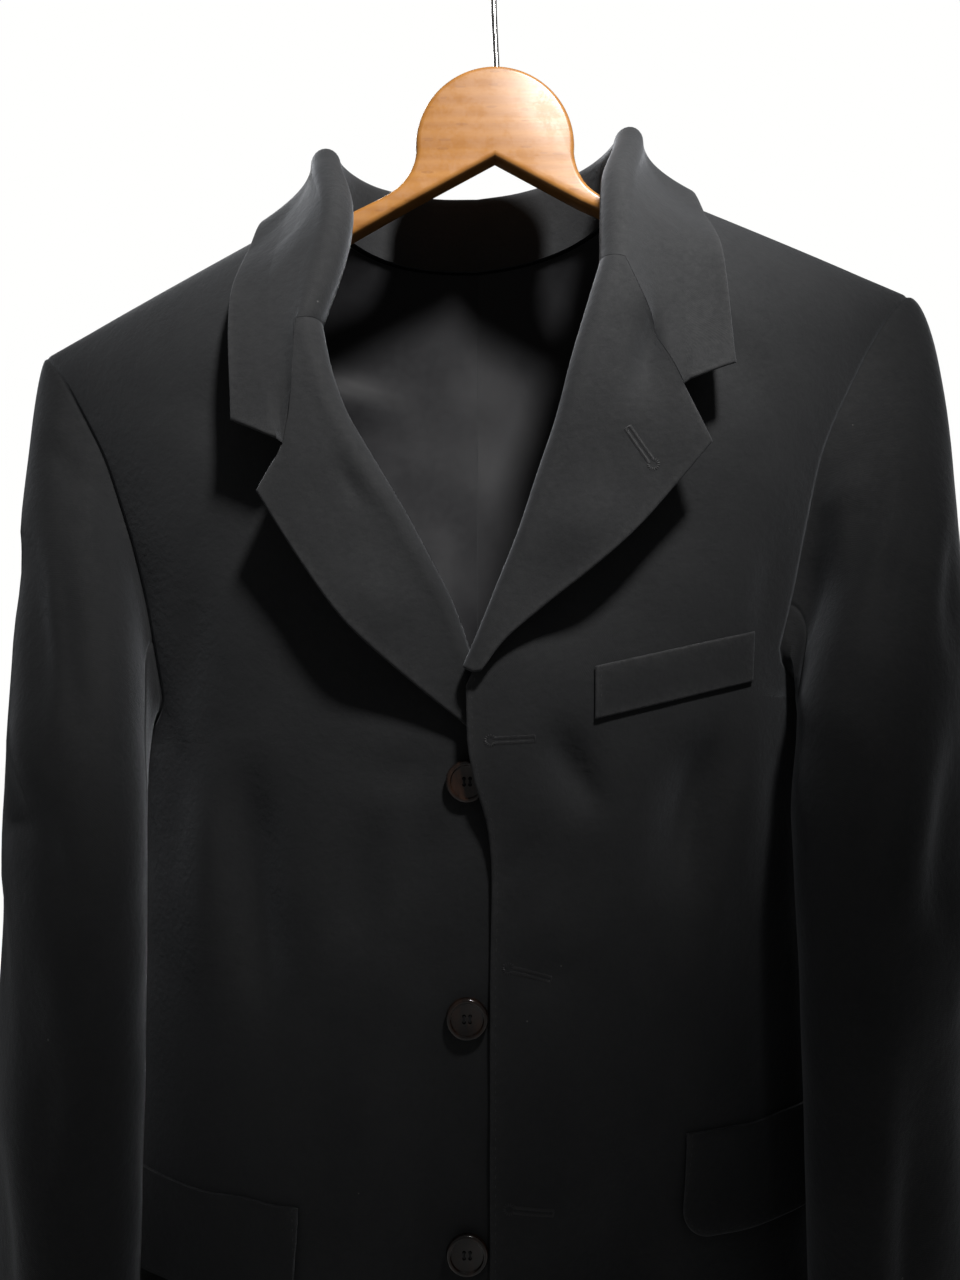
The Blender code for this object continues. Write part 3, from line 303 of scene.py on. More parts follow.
@dataclass(frozen=True)
class BodyForm:
    """The level sections of the body and the lines that bound it.

    The sections are rows of height, half width, and depth of the front, the side and the back. The
    rounds are how square they are, and round_drop how far below the shoulder line they are full.
    """

    sections: Table = metres(
        (-925, 206, -66, 14, 72), (-800, 202, -68, 14, 74), (-650, 194, -70, 14, 75),
        (-550, 188, -71, 14, 75), (-447, 185, -71, 14, 74), (-380, 197, -71, 10, 73),
        (-330, 211, -71, 6, 72), (-280, 234, -71, 3, 71), (-236, 262, -71, 0, 71), (-120, 270, -71, 0, 71),
    )
    front_rounds: Pair = (3.0, 1.45)
    back_rounds: Pair = (2.6, 2.0)
    neck_reach: float = 0.085
    neck_height: float = -0.169
    back_neck_height: float = -0.188
    shoulder_fall: float = 0.466
    round_drop: float = 0.155
    underarm_height: float = -0.447
    hem_height: float = -0.925
    corner_height: float = -0.915

    def at(self, height: Array | float) -> Array:
        """Half width and the three depths at a height."""
        return curve_through(self.sections, height)

    def ridge(self, reach: Array | float) -> Array:
        """Height of the shoulder line at a reach, carried on to the centre line."""
        return self.neck_height - (np.abs(reach) - self.neck_reach) * self.shoulder_fall

    def back_top(self, reach: Array | float) -> Array:
        """Height of the back's upper edge: the neckline, then the shoulder line."""
        share = np.abs(reach) / self.neck_reach
        neck = between(self.back_neck_height, self.neck_height, share**3)
        return np.where(share < 1, neck, self.ridge(reach))


BODY = BodyForm()


@dataclass(frozen=True)
class Face:
    """The front or the back surface of one half of the body.

    Its depth is in a column of the body's sections, 1 at the front and 3 at the back. The armhole's
    edge is in rows of drop below the shoulder point and reach. Near the centre line it stands proud,
    in rows of height and distance. A row above the underarm is fitted to the upper edge in a few
    passes; upper_bow is how soon it reaches its outer end, and how much later at the top.
    """

    column: int
    rounds: Pair
    top: Callable[[Array], Array]
    edge: Table
    creases: tuple[Crease, ...]
    proud: Table = ()
    proud_reach: float = 0.052
    step: float = 0.006
    rise_step: float = 0.00075
    passes: int = 5
    follow_from: float = 0.35
    upper_bow: Pair = (2.2, 1.2)

    def angle(self, reach: Array | float, height: Array | float) -> Array:
        """The turn round the body's section at which it has this reach."""
        share = np.asarray(reach) / BODY.at(height)[..., 0]
        return np.arccos(np.clip(np.sign(share) * np.abs(share) ** (self.rounds[0] / 2), -1, 1))

    def reach(self, angle: Array, height: Array) -> Array:
        """Reach at a turn round the section."""
        cosine = np.cos(angle)
        return BODY.at(height)[..., 0] * np.sign(cosine) * np.abs(cosine) ** (2 / self.rounds[0])

    def point(self, angle: Array, height: Array) -> Array:
        """Points of the surface, with its creases.

        Args:
            angle: Turns round the section.
            height: Heights, in the same shape.

        Returns:
            Reach, depth and height along the last axis.
        """
        body = BODY.at(height)
        reach = self.reach(angle, height)
        share = np.abs(np.sin(angle)) ** (2 / self.rounds[1])
        under = np.clip(1 - np.clip(BODY.ridge(reach) - height, 0, None) / BODY.round_drop, 0, 1)
        depth = between(body[..., 2], body[..., self.column], share) * np.sqrt(1 - under**2)
        inwards = -np.sign(body[..., self.column])
        dip = creased(reach, height, self.creases) + WAVES.dip(reach, height) * (1 - under)
        depth = depth + inwards * share * dip
        if self.proud:
            fade = np.exp(-((reach / self.proud_reach) ** 2))
            depth = depth - curve_through(self.proud, height)[..., 0] * fade
        return np.stack([reach, depth, np.broadcast_to(height, reach.shape)], -1)

    def at(self, reach: Array | float, height: Array | float) -> Array:
        """Points of the surface at a reach and a height."""
        return self.point(self.angle(reach, height), np.asarray(height, float))

    def normals(self, points: Array, outwards: float) -> Array:
        """Works out the surface's normals.

        Args:
            points: Points of the surface.
            outwards: 1 at the front and -1 at the back.

        Returns:
            The outward normal at each point.
        """
        reach, height, rise = points[..., 0], points[..., 2], self.rise_step
        angle = self.angle(reach, height)
        across = self.point(angle + self.step, height) - self.point(np.maximum(angle - self.step, 0), height)
        upwards = self.point(angle, height + rise) - self.point(angle, height - rise)
        return outwards * unit(np.cross(upwards, across))

    def row(
        self,
        start: Pair,
        end: Pair,
        stations: Array,
        top_share: float = 0.0,
        bow: float = 1.0,
    ) -> Array:
        """One row of points across the surface.

        Args:
            start: Turn and height of its inner end.
            end: Turn and height of its outer end.
            stations: Shares of its length at which it has points.
            top_share: How closely it follows the upper edge instead of a level line.
            bow: How soon it reaches the outer end's height.

        Returns:
            The row's points.
        """
        along = even(DENSE - 1)
        angle = between(start[0], end[0], along)
        level = between(start[1], end[1], 1 - (1 - along) ** bow)
        height = level
        for _ in range(self.passes if top_share else 0):
            reach = self.reach(angle, height)
            first, last = self.top(reach[0]) - start[1], self.top(reach[-1]) - end[1]
            under = self.top(reach) - between(first, last, along)
            height = level * (1 - top_share) + under * top_share
        return spaced(self.point(angle, height), stations)

    def upper_row(self, start: Pair, end: Pair, stations: Array, rise: float) -> Array:
        """One row above the underarm, rise being its share of the way from there to the shoulder."""
        follow = float(smooth_step(self.follow_from, 1, rise))
        return self.row(start, end, stations, follow, self.upper_bow[0] - self.upper_bow[1] * rise)

    def armhole(self, shares: Array) -> list[Pair]:
        """Finds points on the armhole's edge.

        Args:
            shares: Shares of the way from the underarm to the shoulder.

        Returns:
            Their turn and height.
        """
        shoulder_height = float(BODY.ridge(SHOULDER_REACH))
        drops = np.linspace(self.edge[-1][0], 0, DENSE)
        reach = curve_through(self.edge, drops)[:, 0]
        height = shoulder_height - drops
        low = self.at(reach, height)[0]
        side_depth = BODY.at(BODY.underarm_height)[2]
        swing = np.radians(np.linspace(90, 0, DENSE, endpoint=False))
        depth = between(side_depth, low[1], np.cos(swing))
        under = low[2] - (low[2] - BODY.underarm_height) * np.sin(swing)
        body = BODY.at(under)
        share = np.clip((depth - body[:, 2]) / (body[:, self.column] - body[:, 2]), 0, 1)
        angles = np.concatenate([np.arcsin(share ** (self.rounds[1] / 2)), self.angle(reach, height)])
        heights = np.concatenate([under, height])
        run = lengths_along(self.point(angles, heights))
        wanted = np.asarray(shares) * run[-1]
        return list(zip(np.interp(wanted, run, angles), np.interp(wanted, run, heights)))


@dataclass(frozen=True)
class Fineness:
    """How many rows and columns of points each panel has."""

    skirt_rows: int = 78
    roll_rows: int = 32
    neck_rows: int = 16
    front_columns: int = 56
    back_columns: int = 46
    head_rings: int = 34
    arm_rings: int = 66
    roll_steps: int = 12
    gorge_steps: int = 14
    tip_steps: int = 8
    stand_steps: int = 7
    collar_half: int = 62
    front_seam_share: float = 9 / 24
    back_seam_share: float = 20 / 24
    row_gather: float = 0.35
    ring_gather: float = 1.25

    @property
    def upper_rows(self) -> int:
        """Rows from the break up to the shoulder."""
        return self.roll_rows + self.neck_rows

    @property
    def gorge_columns(self) -> int:
        """Columns from the lapel's fold to the notch."""
        return self.roll_steps + self.gorge_steps + 1


FINE = Fineness()
BACK_ARMHOLE: Table = metres(
    (0, 230), (12, 220.5), (29, 212.5), (58, 203), (91, 196), (121, 191), (151, 186.5), (181, 183.5),
)
BACK_CREASES = creases(
    (150, -300, 120, -430, 16, 5.8), (95, -450, 110, -640, 16, 6.4), (50, -640, 60, -880, 18, 5.4),
    (150, -560, 140, -780, 14, -4.6), (168, -395, 128, -470, 8, 2.2, 4, 0.35),
    (30, -262, 118, -246, 12, 2.4, 3, 0.6), (20, -330, 34, -470, 13, 2.6, -3),
    (120, -670, 132, -900, 13, 1.8, 3, 0.6), (75, -500, 82, -600, 10, -1.4, 2),
    (16, -700, 22, -905, 12, -1.5, 2, 0.65),
)
BACK_SLEEVE_CREASES = creases(
    (225, -360, 200, -450, 12, 4.5), (236, -540, 206, -600, 12, 5.5), (232, -610, 204, -660, 11, 4),
    (240, -470, 214, -520, 9, 2.4, 3, 0.4), (222, -690, 200, -800, 11, 2.6, 3, 0.6),
    (212, -300, 198, -372, 8, 1.8, 2),
)


@dataclass(frozen=True)
class HalfForm:
    """What one half of the jacket has of its own.

    The front edge, the roll line and the sleeve are in rows by height: the edge's from the hem and
    the roll's from the break with their reach, and the sleeve's with the reach and depth of its
    middle and the half length, half breadth and turn of its oval. The lapel's outer edge, the notch
    and the collar's corner are reach and height. The armhole is in rows of drop below the shoulder
    point and reach, and proud in rows of height and how far the front stands out near its edge.
    The pull is how strongly the cloth leaves the armhole: at least, and more by the fall's length.
    """

    side: Side
    edge: Table
    roll: Table
    lapel: Table
    notch: Pair
    corner: Pair
    armhole: Table
    sleeve: Table
    pull: Pair
    creases: tuple[Crease, ...]
    sleeve_creases: tuple[Crease, ...]
    lapel_creases: tuple[Crease, ...]
    proud: Table = ()


LEFT_FORM = HalfForm(
    side=Side.LEFT,
    edge=metres(
        (-915, 44), (-900, 27), (-870, 14), (-810, 8), (-710, 6.1), (-583, 6.1), (-527, 7), (-504, 5.2),
        (-478, -1.7), (-460, -4.5), (-430.5, -5),
    ),
    roll=metres(
        (-430.5, -5), (-416, 1.5), (-393, 10.7), (-369.8, 20), (-341.9, 29.3), (-313.9, 38.6),
        (-285.8, 45.7), (-243.2, 58.5),
    ),
    lapel=metres(
        (2.2, -430), (10.7, -418.3), (28.9, -402.3), (51.5, -384.2), (73.8, -364), (91.3, -344.2),
        (106.6, -326.2),
    ),
    notch=(0.0940, -0.2996),
    corner=(0.1184, -0.2892),
    armhole=metres(
        (0, 230), (15, 214), (33, 200.8), (54, 188.5), (71, 179.5), (91, 171.5), (120, 165.5), (150, 160),
        (181, 152.5),
    ),
    sleeve=(
        (-0.500, 0.1985, -0.0520, 0.0620, 0.0390, 38.0),
        (-0.580, 0.1990, -0.0540, 0.0605, 0.0360, 38.0),
        (-0.660, 0.1975, -0.0570, 0.0570, 0.0340, 36.0),
        (-0.760, 0.1960, -0.0600, 0.0530, 0.0330, 32.0),
        (-0.885, 0.1940, -0.0680, 0.0480, 0.0320, 28.0),
    ),
    pull=(0.018, 0.180),
    creases=creases(
        (108, -458, 88, -545, 16, 6.5), (138, -430, 128, -560, 12, -3.5), (36, -452, 52, -500, 10, 3.5),
        (60, -640, 85, -800, 20, 4), (120, -730, 105, -900, 18, -3.5),
        (32, -462, 62, -505, 6, 1.6, -2, 0.45), (94, -560, 88, -640, 12, 2, 3),
        (16, -575, 62, -560, 7, 1.4, 3, 0.3), (16, -562, 40, -530, 6, -1, 2, 0.4),
        (150, -360, 140, -425, 8, 1.8, 3), (142, -305, 100, -262, 14, 1.6, 4),
        (70, -640, 76, -770, 15, 2.2, 3, 0.6), (30, -690, 40, -850, 14, -1.8, 2),
        (128, -640, 112, -700, 9, 1.2, 2), (150, -560, 146, -720, 12, 2.2, -3, 0.4),
        (118, -447, 96, -570, 9, 3, 5, 0.4), (128, -470, 112, -600, 8, -1.6, 4),
        (10, -530, 30, -500, 5, 1, 2, 0.4),
    ),
    sleeve_creases=creases(
        (216, -330, 176, -430, 11, 6), (222, -450, 200, -560, 14, 5), (205, -580, 188, -760, 15, 4.5),
        (232, -650, 214, -820, 12, -3.5), (208, -348, 182, -404, 6, -1.6, 3, 0.4),
        (236, -360, 216, -430, 7, 2.2, 3), (228, -520, 206, -600, 8, -1.8, -2, 0.4),
        (214, -690, 226, -830, 10, 2.2, 3, 0.6), (186, -470, 176, -540, 8, 1.8, 2),
        (200, -330, 155, -430, 8, 4, 4, 0.45), (193, -336, 165, -352, 7, -1.8),
        (150, -432, 174, -472, 10, -2.6), (188, -560, 184, -780, 12, 3.4, -2, 0.55),
    ),
    lapel_creases=creases(
        (86, -262, 74, -312, 7, 4.2, 2, 0.35), (30, -372, 66, -352, 12, -1.2, 3),
    ),
    proud=metres(
        (-925, 3.6), (-560, 3.6), (-530, 4.4), (-480, 11), (-435, 13.5), (-380, 6), (-320, 0), (-120, 0),
    ),
)
RIGHT_FORM = HalfForm(
    side=Side.RIGHT,
    edge=metres(
        (-915, 26), (-900, 8.5), (-870, -5), (-810, -12.5), (-710, -15.8), (-568, -15.8), (-500, -13.8),
        (-457, -10.5), (-434.5, -5),
    ),
    roll=metres(
        (-434.5, -5), (-418, -0.5), (-400.3, 4.5), (-378.2, 12.3), (-355.1, 23.9), (-329.6, 37.8),
        (-306.4, 51.7), (-289.9, 61.1), (-268, 69), (-247, 73.5),
    ),
    lapel=metres(
        (2.2, -434.2), (7.5, -429.2), (16.9, -421.8), (35.1, -406.6), (59.9, -382.9), (79.9, -355.8),
        (99.5, -324.7),
    ),
    notch=(0.0878, -0.3027),
    corner=(0.1118, -0.2923),
    armhole=metres(
        (0, 230), (15, 216), (38, 201.8), (62, 188.9), (85, 180.5), (110, 172.8), (136, 167.2),
        (156, 163.8), (181, 160),
    ),
    sleeve=(
        (-0.500, 0.1955, -0.0510, 0.0575, 0.0318, 30.0),
        (-0.580, 0.1962, -0.0535, 0.0570, 0.0320, 30.0),
        (-0.660, 0.1965, -0.0570, 0.0545, 0.0320, 29.0),
        (-0.760, 0.1970, -0.0600, 0.0515, 0.0322, 28.0),
        (-0.885, 0.1950, -0.0680, 0.0480, 0.0320, 27.0),
    ),
    pull=(0.014, 0.040),
    creases=creases(
        (108, -440, 98, -590, 14, 7.5, -4), (140, -460, 132, -590, 12, -3.5), (46, -470, 64, -540, 11, 3.5),
        (18, -570, 26, -740, 13, 4), (90, -680, 80, -860, 20, 3.5), (18, -468, 42, -525, 7, 1.8, 2, 0.45),
        (12, -452, 74, -448, 8, 1, 3, 0.35), (130, -360, 146, -440, 10, 2, -3),
        (142, -300, 98, -256, 14, 1.6, 4), (120, -600, 114, -720, 12, 2.2, 3),
        (52, -590, 58, -690, 10, -1.6, 2, 0.4), (150, -640, 140, -820, 13, 2.2, -3, 0.6),
        (40, -760, 52, -890, 12, 1.8, 2, 0.6), (154, -420, 150, -520, 8, 2, 2),
        (128, -435, 118, -560, 12, -2.2, -3), (70, -560, 76, -660, 9, 1.6, 2, 0.4),
    ),
    sleeve_creases=creases(
        (226, -330, 190, -440, 11, 5.5), (216, -420, 182, -480, 10, -4), (196, -520, 186, -640, 14, 5),
        (222, -600, 200, -780, 13, 4), (224, -286, 190, -318, 6, 2.2, 2, 0.4),
        (220, -440, 190, -505, 11, 2, 3), (208, -348, 196, -392, 6, -1.4, 2),
        (230, -500, 214, -590, 9, 2, 3, 0.4), (206, -680, 220, -830, 10, 2.4, -3, 0.6),
        (207, -338, 172, -468, 8, 4, 4, 0.45), (200, -408, 160, -485, 9, -2.6, 3),
        (197, -450, 172, -515, 8, 3, -2), (186, -540, 206, -620, 10, -2.2, 3),
    ),
    lapel_creases=creases(
        (52, -335, 50, -300, 8, 3, 2, 0.6), (30, -385, 60, -358, 12, -1.2, 3),
    ),
)


@dataclass(frozen=True)
class Half:
    """One half of the jacket: works out the grids of its panels.

    The roll's radius and the lapel's stand are given at its break and at its top. The front is up by
    front_lift on the left half and down on the right one, and passes into the shoulder's height over
    the other lifts. The turns are rows of share of the way round from the shoulder point over the
    front, turn on the sleeve's oval, and how far the cloth leaves the armhole outwards. A pull is how
    strongly a line turns, and a bow or a gather how soon or how late. The foot_steps are where before
    the gorge the end of the collar's stand lies. The sleeve's creases set in over sleeve_clear, and
    change over to those of its back where the normal's Y is between the back_turn's numbers.
    """

    form: HalfForm
    roll_radius: Pair = (0.0030, 0.0078)
    lapel_stand: Pair = (0.0045, 0.0200)
    stand_rise: float = 0.55
    notch_share: float = 0.62
    front_lift: float = 0.0120
    lift_depth: float = 0.030
    lift_drop: float = 0.080
    lift_inner: float = 0.110
    lift_outer: float = 0.185
    sleeve_round: float = 2.3
    turns: Table = (
        (0.00, 270.0, 0.25),
        (0.25, 180.0, 0.90),
        (0.50, 60.0, 1.60),
        (0.75, 0.0, 0.70),
        (1.00, -90.0, 0.25),
    )
    hang_pull: float = 0.90
    sleeve_softness: float = 0.72
    skirt_bow: float = 3.0
    neck_hollow: float = 0.001
    notch_gather: int = 7
    stand_gather: float = 1.5
    gorge_gap: float = 0.0002
    foot_steps: Pair = (0.0024, 0.0004)
    crease_inset: float = 0.25
    back_turn: Pair = (-0.1, 0.5)
    sleeve_front: float = 0.02
    sleeve_margin: float = 0.01
    sleeve_clear: float = 0.03

    @property
    def sign(self) -> int:
        """The sign of this half's X."""
        return self.form.side.value

    @property
    def name(self) -> str:
        """The half's name, as its pieces have it."""
        return self.form.side.name.lower()

    @property
    def front(self) -> Face:
        """The front surface."""
        return Face(1, BODY.front_rounds, BODY.ridge, self.form.armhole, self.form.creases, self.form.proud)

    @property
    def back(self) -> Face:
        """The back surface."""
        return Face(3, BODY.back_rounds, BODY.back_top, BACK_ARMHOLE, BACK_CREASES)

    def level(self, reach: Array | float) -> Array | float:
        """How far the shoulder line is up on the left half, and down on the right one."""
        return self.sign * SHOULDER_LIFT * reach / SHOULDER_REACH

    def hang(self, points: Array) -> Array:
        """Hangs points of this half where the jacket really hangs.

        Args:
            points: Their reach, depth and height.

        Returns:
            Their X, Y and Z.
        """
        points = np.asarray(points, float)
        reach, depth, height = points[..., 0], points[..., 1], points[..., 2]
        front = smooth_step(0, self.lift_depth, -depth)
        front = front * smooth_step(0, self.lift_drop, BODY.ridge(reach) - height)
        front = front * (1 - smooth_step(self.lift_inner, self.lift_outer, np.abs(reach)))
        lift = between(self.level(reach), self.sign * self.front_lift, front)
        return np.stack([CENTRE + self.sign * reach, depth, height + lift], -1)

    def hang_panel(self, points: Array, normals: Array, wall: float = WALL) -> Grid:
        """A panel's points and normals where the jacket really hangs."""
        hung = self.hang(points)
        return hung, (hung - self.hang(points - wall * normals)) / wall

    def front_grid(self) -> Grid:
        """The front's points and normals, rows from the hem to the shoulder, columns outwards."""
        stations = even(FINE.front_columns)
        rows = []
        for share in np.arange(FINE.skirt_rows) / FINE.skirt_rows:
            near = between(BODY.corner_height, self.form.roll[0][0], share)
            far = between(BODY.hem_height, BODY.underarm_height, share)
            start = (self.front.angle(curve_through(self.form.edge, near)[0], near), near)
            rows.append(self.front.row(start, (0.0, far), stations, bow=self.skirt_bow))
        outer = self.front.armhole(gathered(FINE.upper_rows, FINE.row_gather))
        for j, ((reach, height), end) in enumerate(zip(self.inner_line(), outer)):
            start = (self.front.angle(reach, height), height)
            rows.append(self.front.upper_row(start, end, stations, j / FINE.upper_rows))
        points = np.array(rows)
        normals = self.front.normals(points, 1)
        normals[: FINE.skirt_rows + 1, -1, 1] = 0
        normals[-1] = (BODY.shoulder_fall, 0, 1)
        return points, unit(normals)

    def inner_line(self) -> Array:
        """Reach and height of the front's inner edge above the break: the roll, then the neckline."""
        shares = even(FINE.roll_rows)
        heights = between(self.form.roll[0][0], self.form.roll[-1][0], shares)
        radius = between(*self.roll_radius, shares)
        roll = np.stack([curve_through(self.form.roll, heights)[:, 0] + radius, heights], 1)
        first, last = roll[-1], np.array([BODY.neck_reach, BODY.neck_height])
        hollow = (first + last) / 2 - (self.neck_hollow, 0)
        dense = smooth_line([first, hollow, last], np.linspace(0, 1, DENSE))
        level = np.minimum(dense[:, 1], BODY.ridge(dense[:, 0]))
        run = lengths_along(self.front.at(dense[:, 0], level))
        wanted = even(FINE.neck_rows)[1:] * run[-1]
        return np.concatenate([roll, read_along(run, dense, wanted)])

    def back_grid(self) -> Grid:
        """The back's points and normals, rows from the hem to the shoulder, columns outwards."""
        outer = self.back.armhole(gathered(FINE.upper_rows, FINE.row_gather))
        centre = math.pi / 2
        top = self.back.row((centre, BODY.back_neck_height), outer[-1], np.linspace(0, 1, DENSE), 1.0)
        run = lengths_along(top)
        neck_share = np.interp(BODY.neck_reach, top[:, 0], run) / run[-1]
        neck_column = round(neck_share * FINE.back_columns)
        stations = np.concatenate([
            np.linspace(0, neck_share, neck_column + 1),
            np.linspace(neck_share, 1, FINE.back_columns - neck_column + 1)[1:],
        ])
        rows = []
        for share in np.arange(FINE.skirt_rows) / FINE.skirt_rows:
            height = between(BODY.hem_height, BODY.underarm_height, share)
            rows.append(self.back.row((centre, height), (0.0, height), stations))
        for j, end in enumerate(outer):
            share = j / FINE.upper_rows
            height = between(BODY.underarm_height, BODY.back_neck_height, share)
            rows.append(self.back.upper_row((centre, height), end, stations, share))
        points = np.array(rows)
        normals = self.back.normals(points, -1)
        normals[: FINE.skirt_rows + 1, -1, 1] = 0
        normals[-1, points[-1, :, 0] >= BODY.neck_reach - WALL / 4] = (BODY.shoulder_fall, 0, 1)
        normals[:, 0, 0] = 0
        return points, unit(normals)

    def lapel_grid(self, front: Array, normals: Array) -> Grid:
        """The lapel's points and normals.

        Args:
            front: The front's points.
            normals: The front's normals.

        Returns:
            Its grid, rows from the break to the gorge, columns from the fold outwards.
        """
        rows = slice(FINE.skirt_rows, FINE.skirt_rows + FINE.roll_rows + 1)
        edge, facing = front[rows, 0], normals[rows, 0]
        inwards = unit(np.cross(facing, unit(np.gradient(edge, axis=0))))
        inwards *= -np.sign(inwards[:, :1])
        shares = even(FINE.roll_rows)
        tips = smooth_line(self.form.lapel, shares)
        turns = np.radians(np.linspace(0, 180, FINE.roll_steps + 1))[:, None]
        grid = []
        for j, share in enumerate(shares):
            radius = between(*self.roll_radius, share)
            roll = edge[j] - facing[j] * WALL + inwards[j] * radius * np.sin(turns)
            roll = roll + facing[j] * radius * (1 - np.cos(turns))
            grid.append(np.concatenate([roll, self.lapel_leaf(roll[-1], tips[j], share)[1:]]))
        grid = np.array(grid)
        return grid, grid_normals(grid, -1)

    def breadth_shares(self) -> Array:
        """Shares of a leaf's breadth at which it has points, as a column."""
        return np.concatenate([
            np.linspace(0, self.notch_share, FINE.gorge_steps + 1),
            np.linspace(self.notch_share, 1, FINE.tip_steps + 1)[1:],
        ])[:, None]

    def lapel_leaf(self, start: Array, tip: Array, share: float) -> Array:
        """Works out one row of the lapel's flat part.

        Args:
            start: The end of its roll.
            tip: Reach and height of its outer end.
            share: How far up the lapel it is.

        Returns:
            Its points, outwards.
        """
        across = self.breadth_shares()
        first = start[[0, 2]]
        bend = np.asarray(self.form.notch) - between(first, tip, self.notch_share)
        pull = np.minimum(across / self.notch_share, (1 - across) / (1 - self.notch_share))
        line = between(first, tip, across) + bend * pull * share**self.notch_gather
        chest = self.front.at(line[:, 0], line[:, 1])
        stand = between(*self.lapel_stand, smooth_step(0, self.stand_rise, share))
        near = self.front.at(first[0], first[1])[1] - start[1]
        chest[:, 1] -= between(near, stand, across[:, 0] ** self.stand_gather)
        dip = creased(line[:, 0], line[:, 1], self.form.lapel_creases)
        chest[:, 1] += dip * smooth_step(0, self.crease_inset, across[:, 0])
        return chest

    def collar_end(self, lapel: Array) -> Array:
        """Works out the collar's end row.

        Args:
            lapel: The lapel's points.

        Returns:
            The row along the lapel's top edge to the notch, and then to the collar's corner.
        """
        top, under = lapel[-1, : FINE.gorge_columns], lapel[-2, : FINE.gorge_columns]
        joined = top + unit(top - under) * self.gorge_gap
        stand = np.repeat(joined[:1], FINE.stand_steps, axis=0)
        stand = stand - unit(joined[1] - joined[0]) * np.linspace(*self.foot_steps, FINE.stand_steps)[:, None]
        out = even(FINE.tip_steps)[1:, None]
        line = between(joined[-1, [0, 2]], np.asarray(self.form.corner), out)
        chest = self.front.at(line[:, 0], line[:, 1])
        chest[:, 1] -= self.lapel_stand[1]
        return np.concatenate([stand, joined, chest])

    def sleeve_grid(self, body: Sequence[Grid]) -> Grid:
        """The sleeve's points and normals.

        Args:
            body: Points and normals of the front and of the back.

        Returns:
            Its grid, rows from the armhole to the cuff, columns round from the shoulder point.
        """
        ring, facing, out = [], [], []
        for (grid, normals), turn in zip(body, (1, -1)):
            edge, normal = grid[FINE.skirt_rows :, -1], normals[FINE.skirt_rows :, -1]
            away = turn * unit(np.cross(unit(np.gradient(edge, axis=0)), normal))
            order = slice(None, 0, -1) if turn > 0 else slice(0, -1)
            ring.append(edge[order])
            facing.append(normal[order])
            out.append(away[order])
        start, facing, out = np.concatenate(ring), np.concatenate(facing), np.concatenate(out)
        turns = curve_through(self.turns, np.arange(len(start)) / len(start))
        beta, flare = np.radians(turns[:, 0]), turns[:, 1:2]
        low, high = self.form.sleeve[-1][0], self.form.sleeve[0][0]
        end = self.sleeve_ring(high, beta)
        span = np.linalg.norm(end - start, axis=1, keepdims=True)
        leave = unit(out + facing * flare) * (self.form.pull[0] + self.form.pull[1] * span)
        arrive = np.array([0, 0, -self.hang_pull]) * span
        shares = even(FINE.head_rings) ** FINE.ring_gather
        grid = [smooth_way(start, leave, end, arrive, t) for t in shares]
        for height in np.linspace(high, low, FINE.arm_rings + 1)[1:]:
            grid.append(self.sleeve_ring(height, beta))
        grid = np.array(grid)
        normals = self.ring_normals(grid)
        normals[0] = facing
        reach, height = grid[..., 0], grid[..., 2]
        behind = smooth_step(*self.back_turn, normals[..., 1])
        dip = creased(reach, height, self.form.sleeve_creases) * (1 - behind)
        dip = dip + creased(reach, height, BACK_SLEEVE_CREASES) * behind
        dip = dip + WAVES.dip(reach + grid[..., 1] + self.sign, height)
        inside = BODY.at(height)[..., 0] - reach
        clear = np.maximum(-inside, -grid[..., 1] - self.sleeve_front) + self.sleeve_margin
        dip = dip * self.sleeve_softness * smooth_step(0, self.sleeve_clear, clear)
        grid = grid - normals * dip[..., None]
        finer = self.ring_normals(grid)
        finer[0] = facing
        return grid, finer

    def ring_normals(self, grid: Array) -> Array:
        """Outward normals of a grid whose rows are closed rings."""
        closed = np.concatenate([grid[:, -1:], grid, grid[:, :1]], 1)
        normals = grid_normals(closed, 1)[:, 1:-1]
        middle = grid.mean(1, keepdims=True)
        return normals * np.sign(np.sum(normals * (grid - middle)))

    def sleeve_ring(self, height: float, beta: Array) -> Array:
        """One level ring of the sleeve below the armpit.

        Args:
            height: Its height.
            beta: Turns round its oval.

        Returns:
            Its points.
        """
        reach, depth, long, short, turn = curve_through(self.form.sleeve[::-1], height)
        turn, power = math.radians(turn), 2 / self.sleeve_round
        along, aside = (
            size * np.sign(way) * np.abs(way) ** power
            for size, way in ((long, np.cos(beta)), (short, np.sin(beta)))
        )
        return np.stack([
            reach + along * math.sin(turn) - aside * math.cos(turn),
            depth + along * math.cos(turn) + aside * math.sin(turn),
            np.full_like(beta, height),
        ], 1)

    def around(self, distances: Array, heights: Array) -> Array:
        """Finds points of the front round from the centre line.

        Args:
            distances: Their distances along the surface.
            heights: Their heights, in the same shape.

        Returns:
            The points.
        """
        turns = np.linspace(math.pi / 2, 0, DENSE)
        flat = []
        for distance, height in zip(np.ravel(distances), np.ravel(heights)):
            section = self.front.point(turns, np.full(DENSE, height))
            flat.append(read_along(lengths_along(section), section, distance))
        return np.array(flat).reshape(*np.shape(distances), 3)


LEFT, RIGHT = Half(LEFT_FORM), Half(RIGHT_FORM)


@dataclass(frozen=True)
class Border:
    """How a panel ends along one side of its grid.

    Attributes:
        open: 1 where it is a free, rounded edge, along the side or all over it.
        seam: 1 where it is sewn to another panel and sinks into the seam.
    """

    open: float | Array = 0.0
    seam: float | Array = 0.0


FREE, SEWN, PLAIN = Border(open=1.0), Border(seam=1.0), Border()


@dataclass(frozen=True)
class Cut:
    """The flat cloth that a panel is cut from: its width, length and area."""

    width: float
    length: float
    area: float


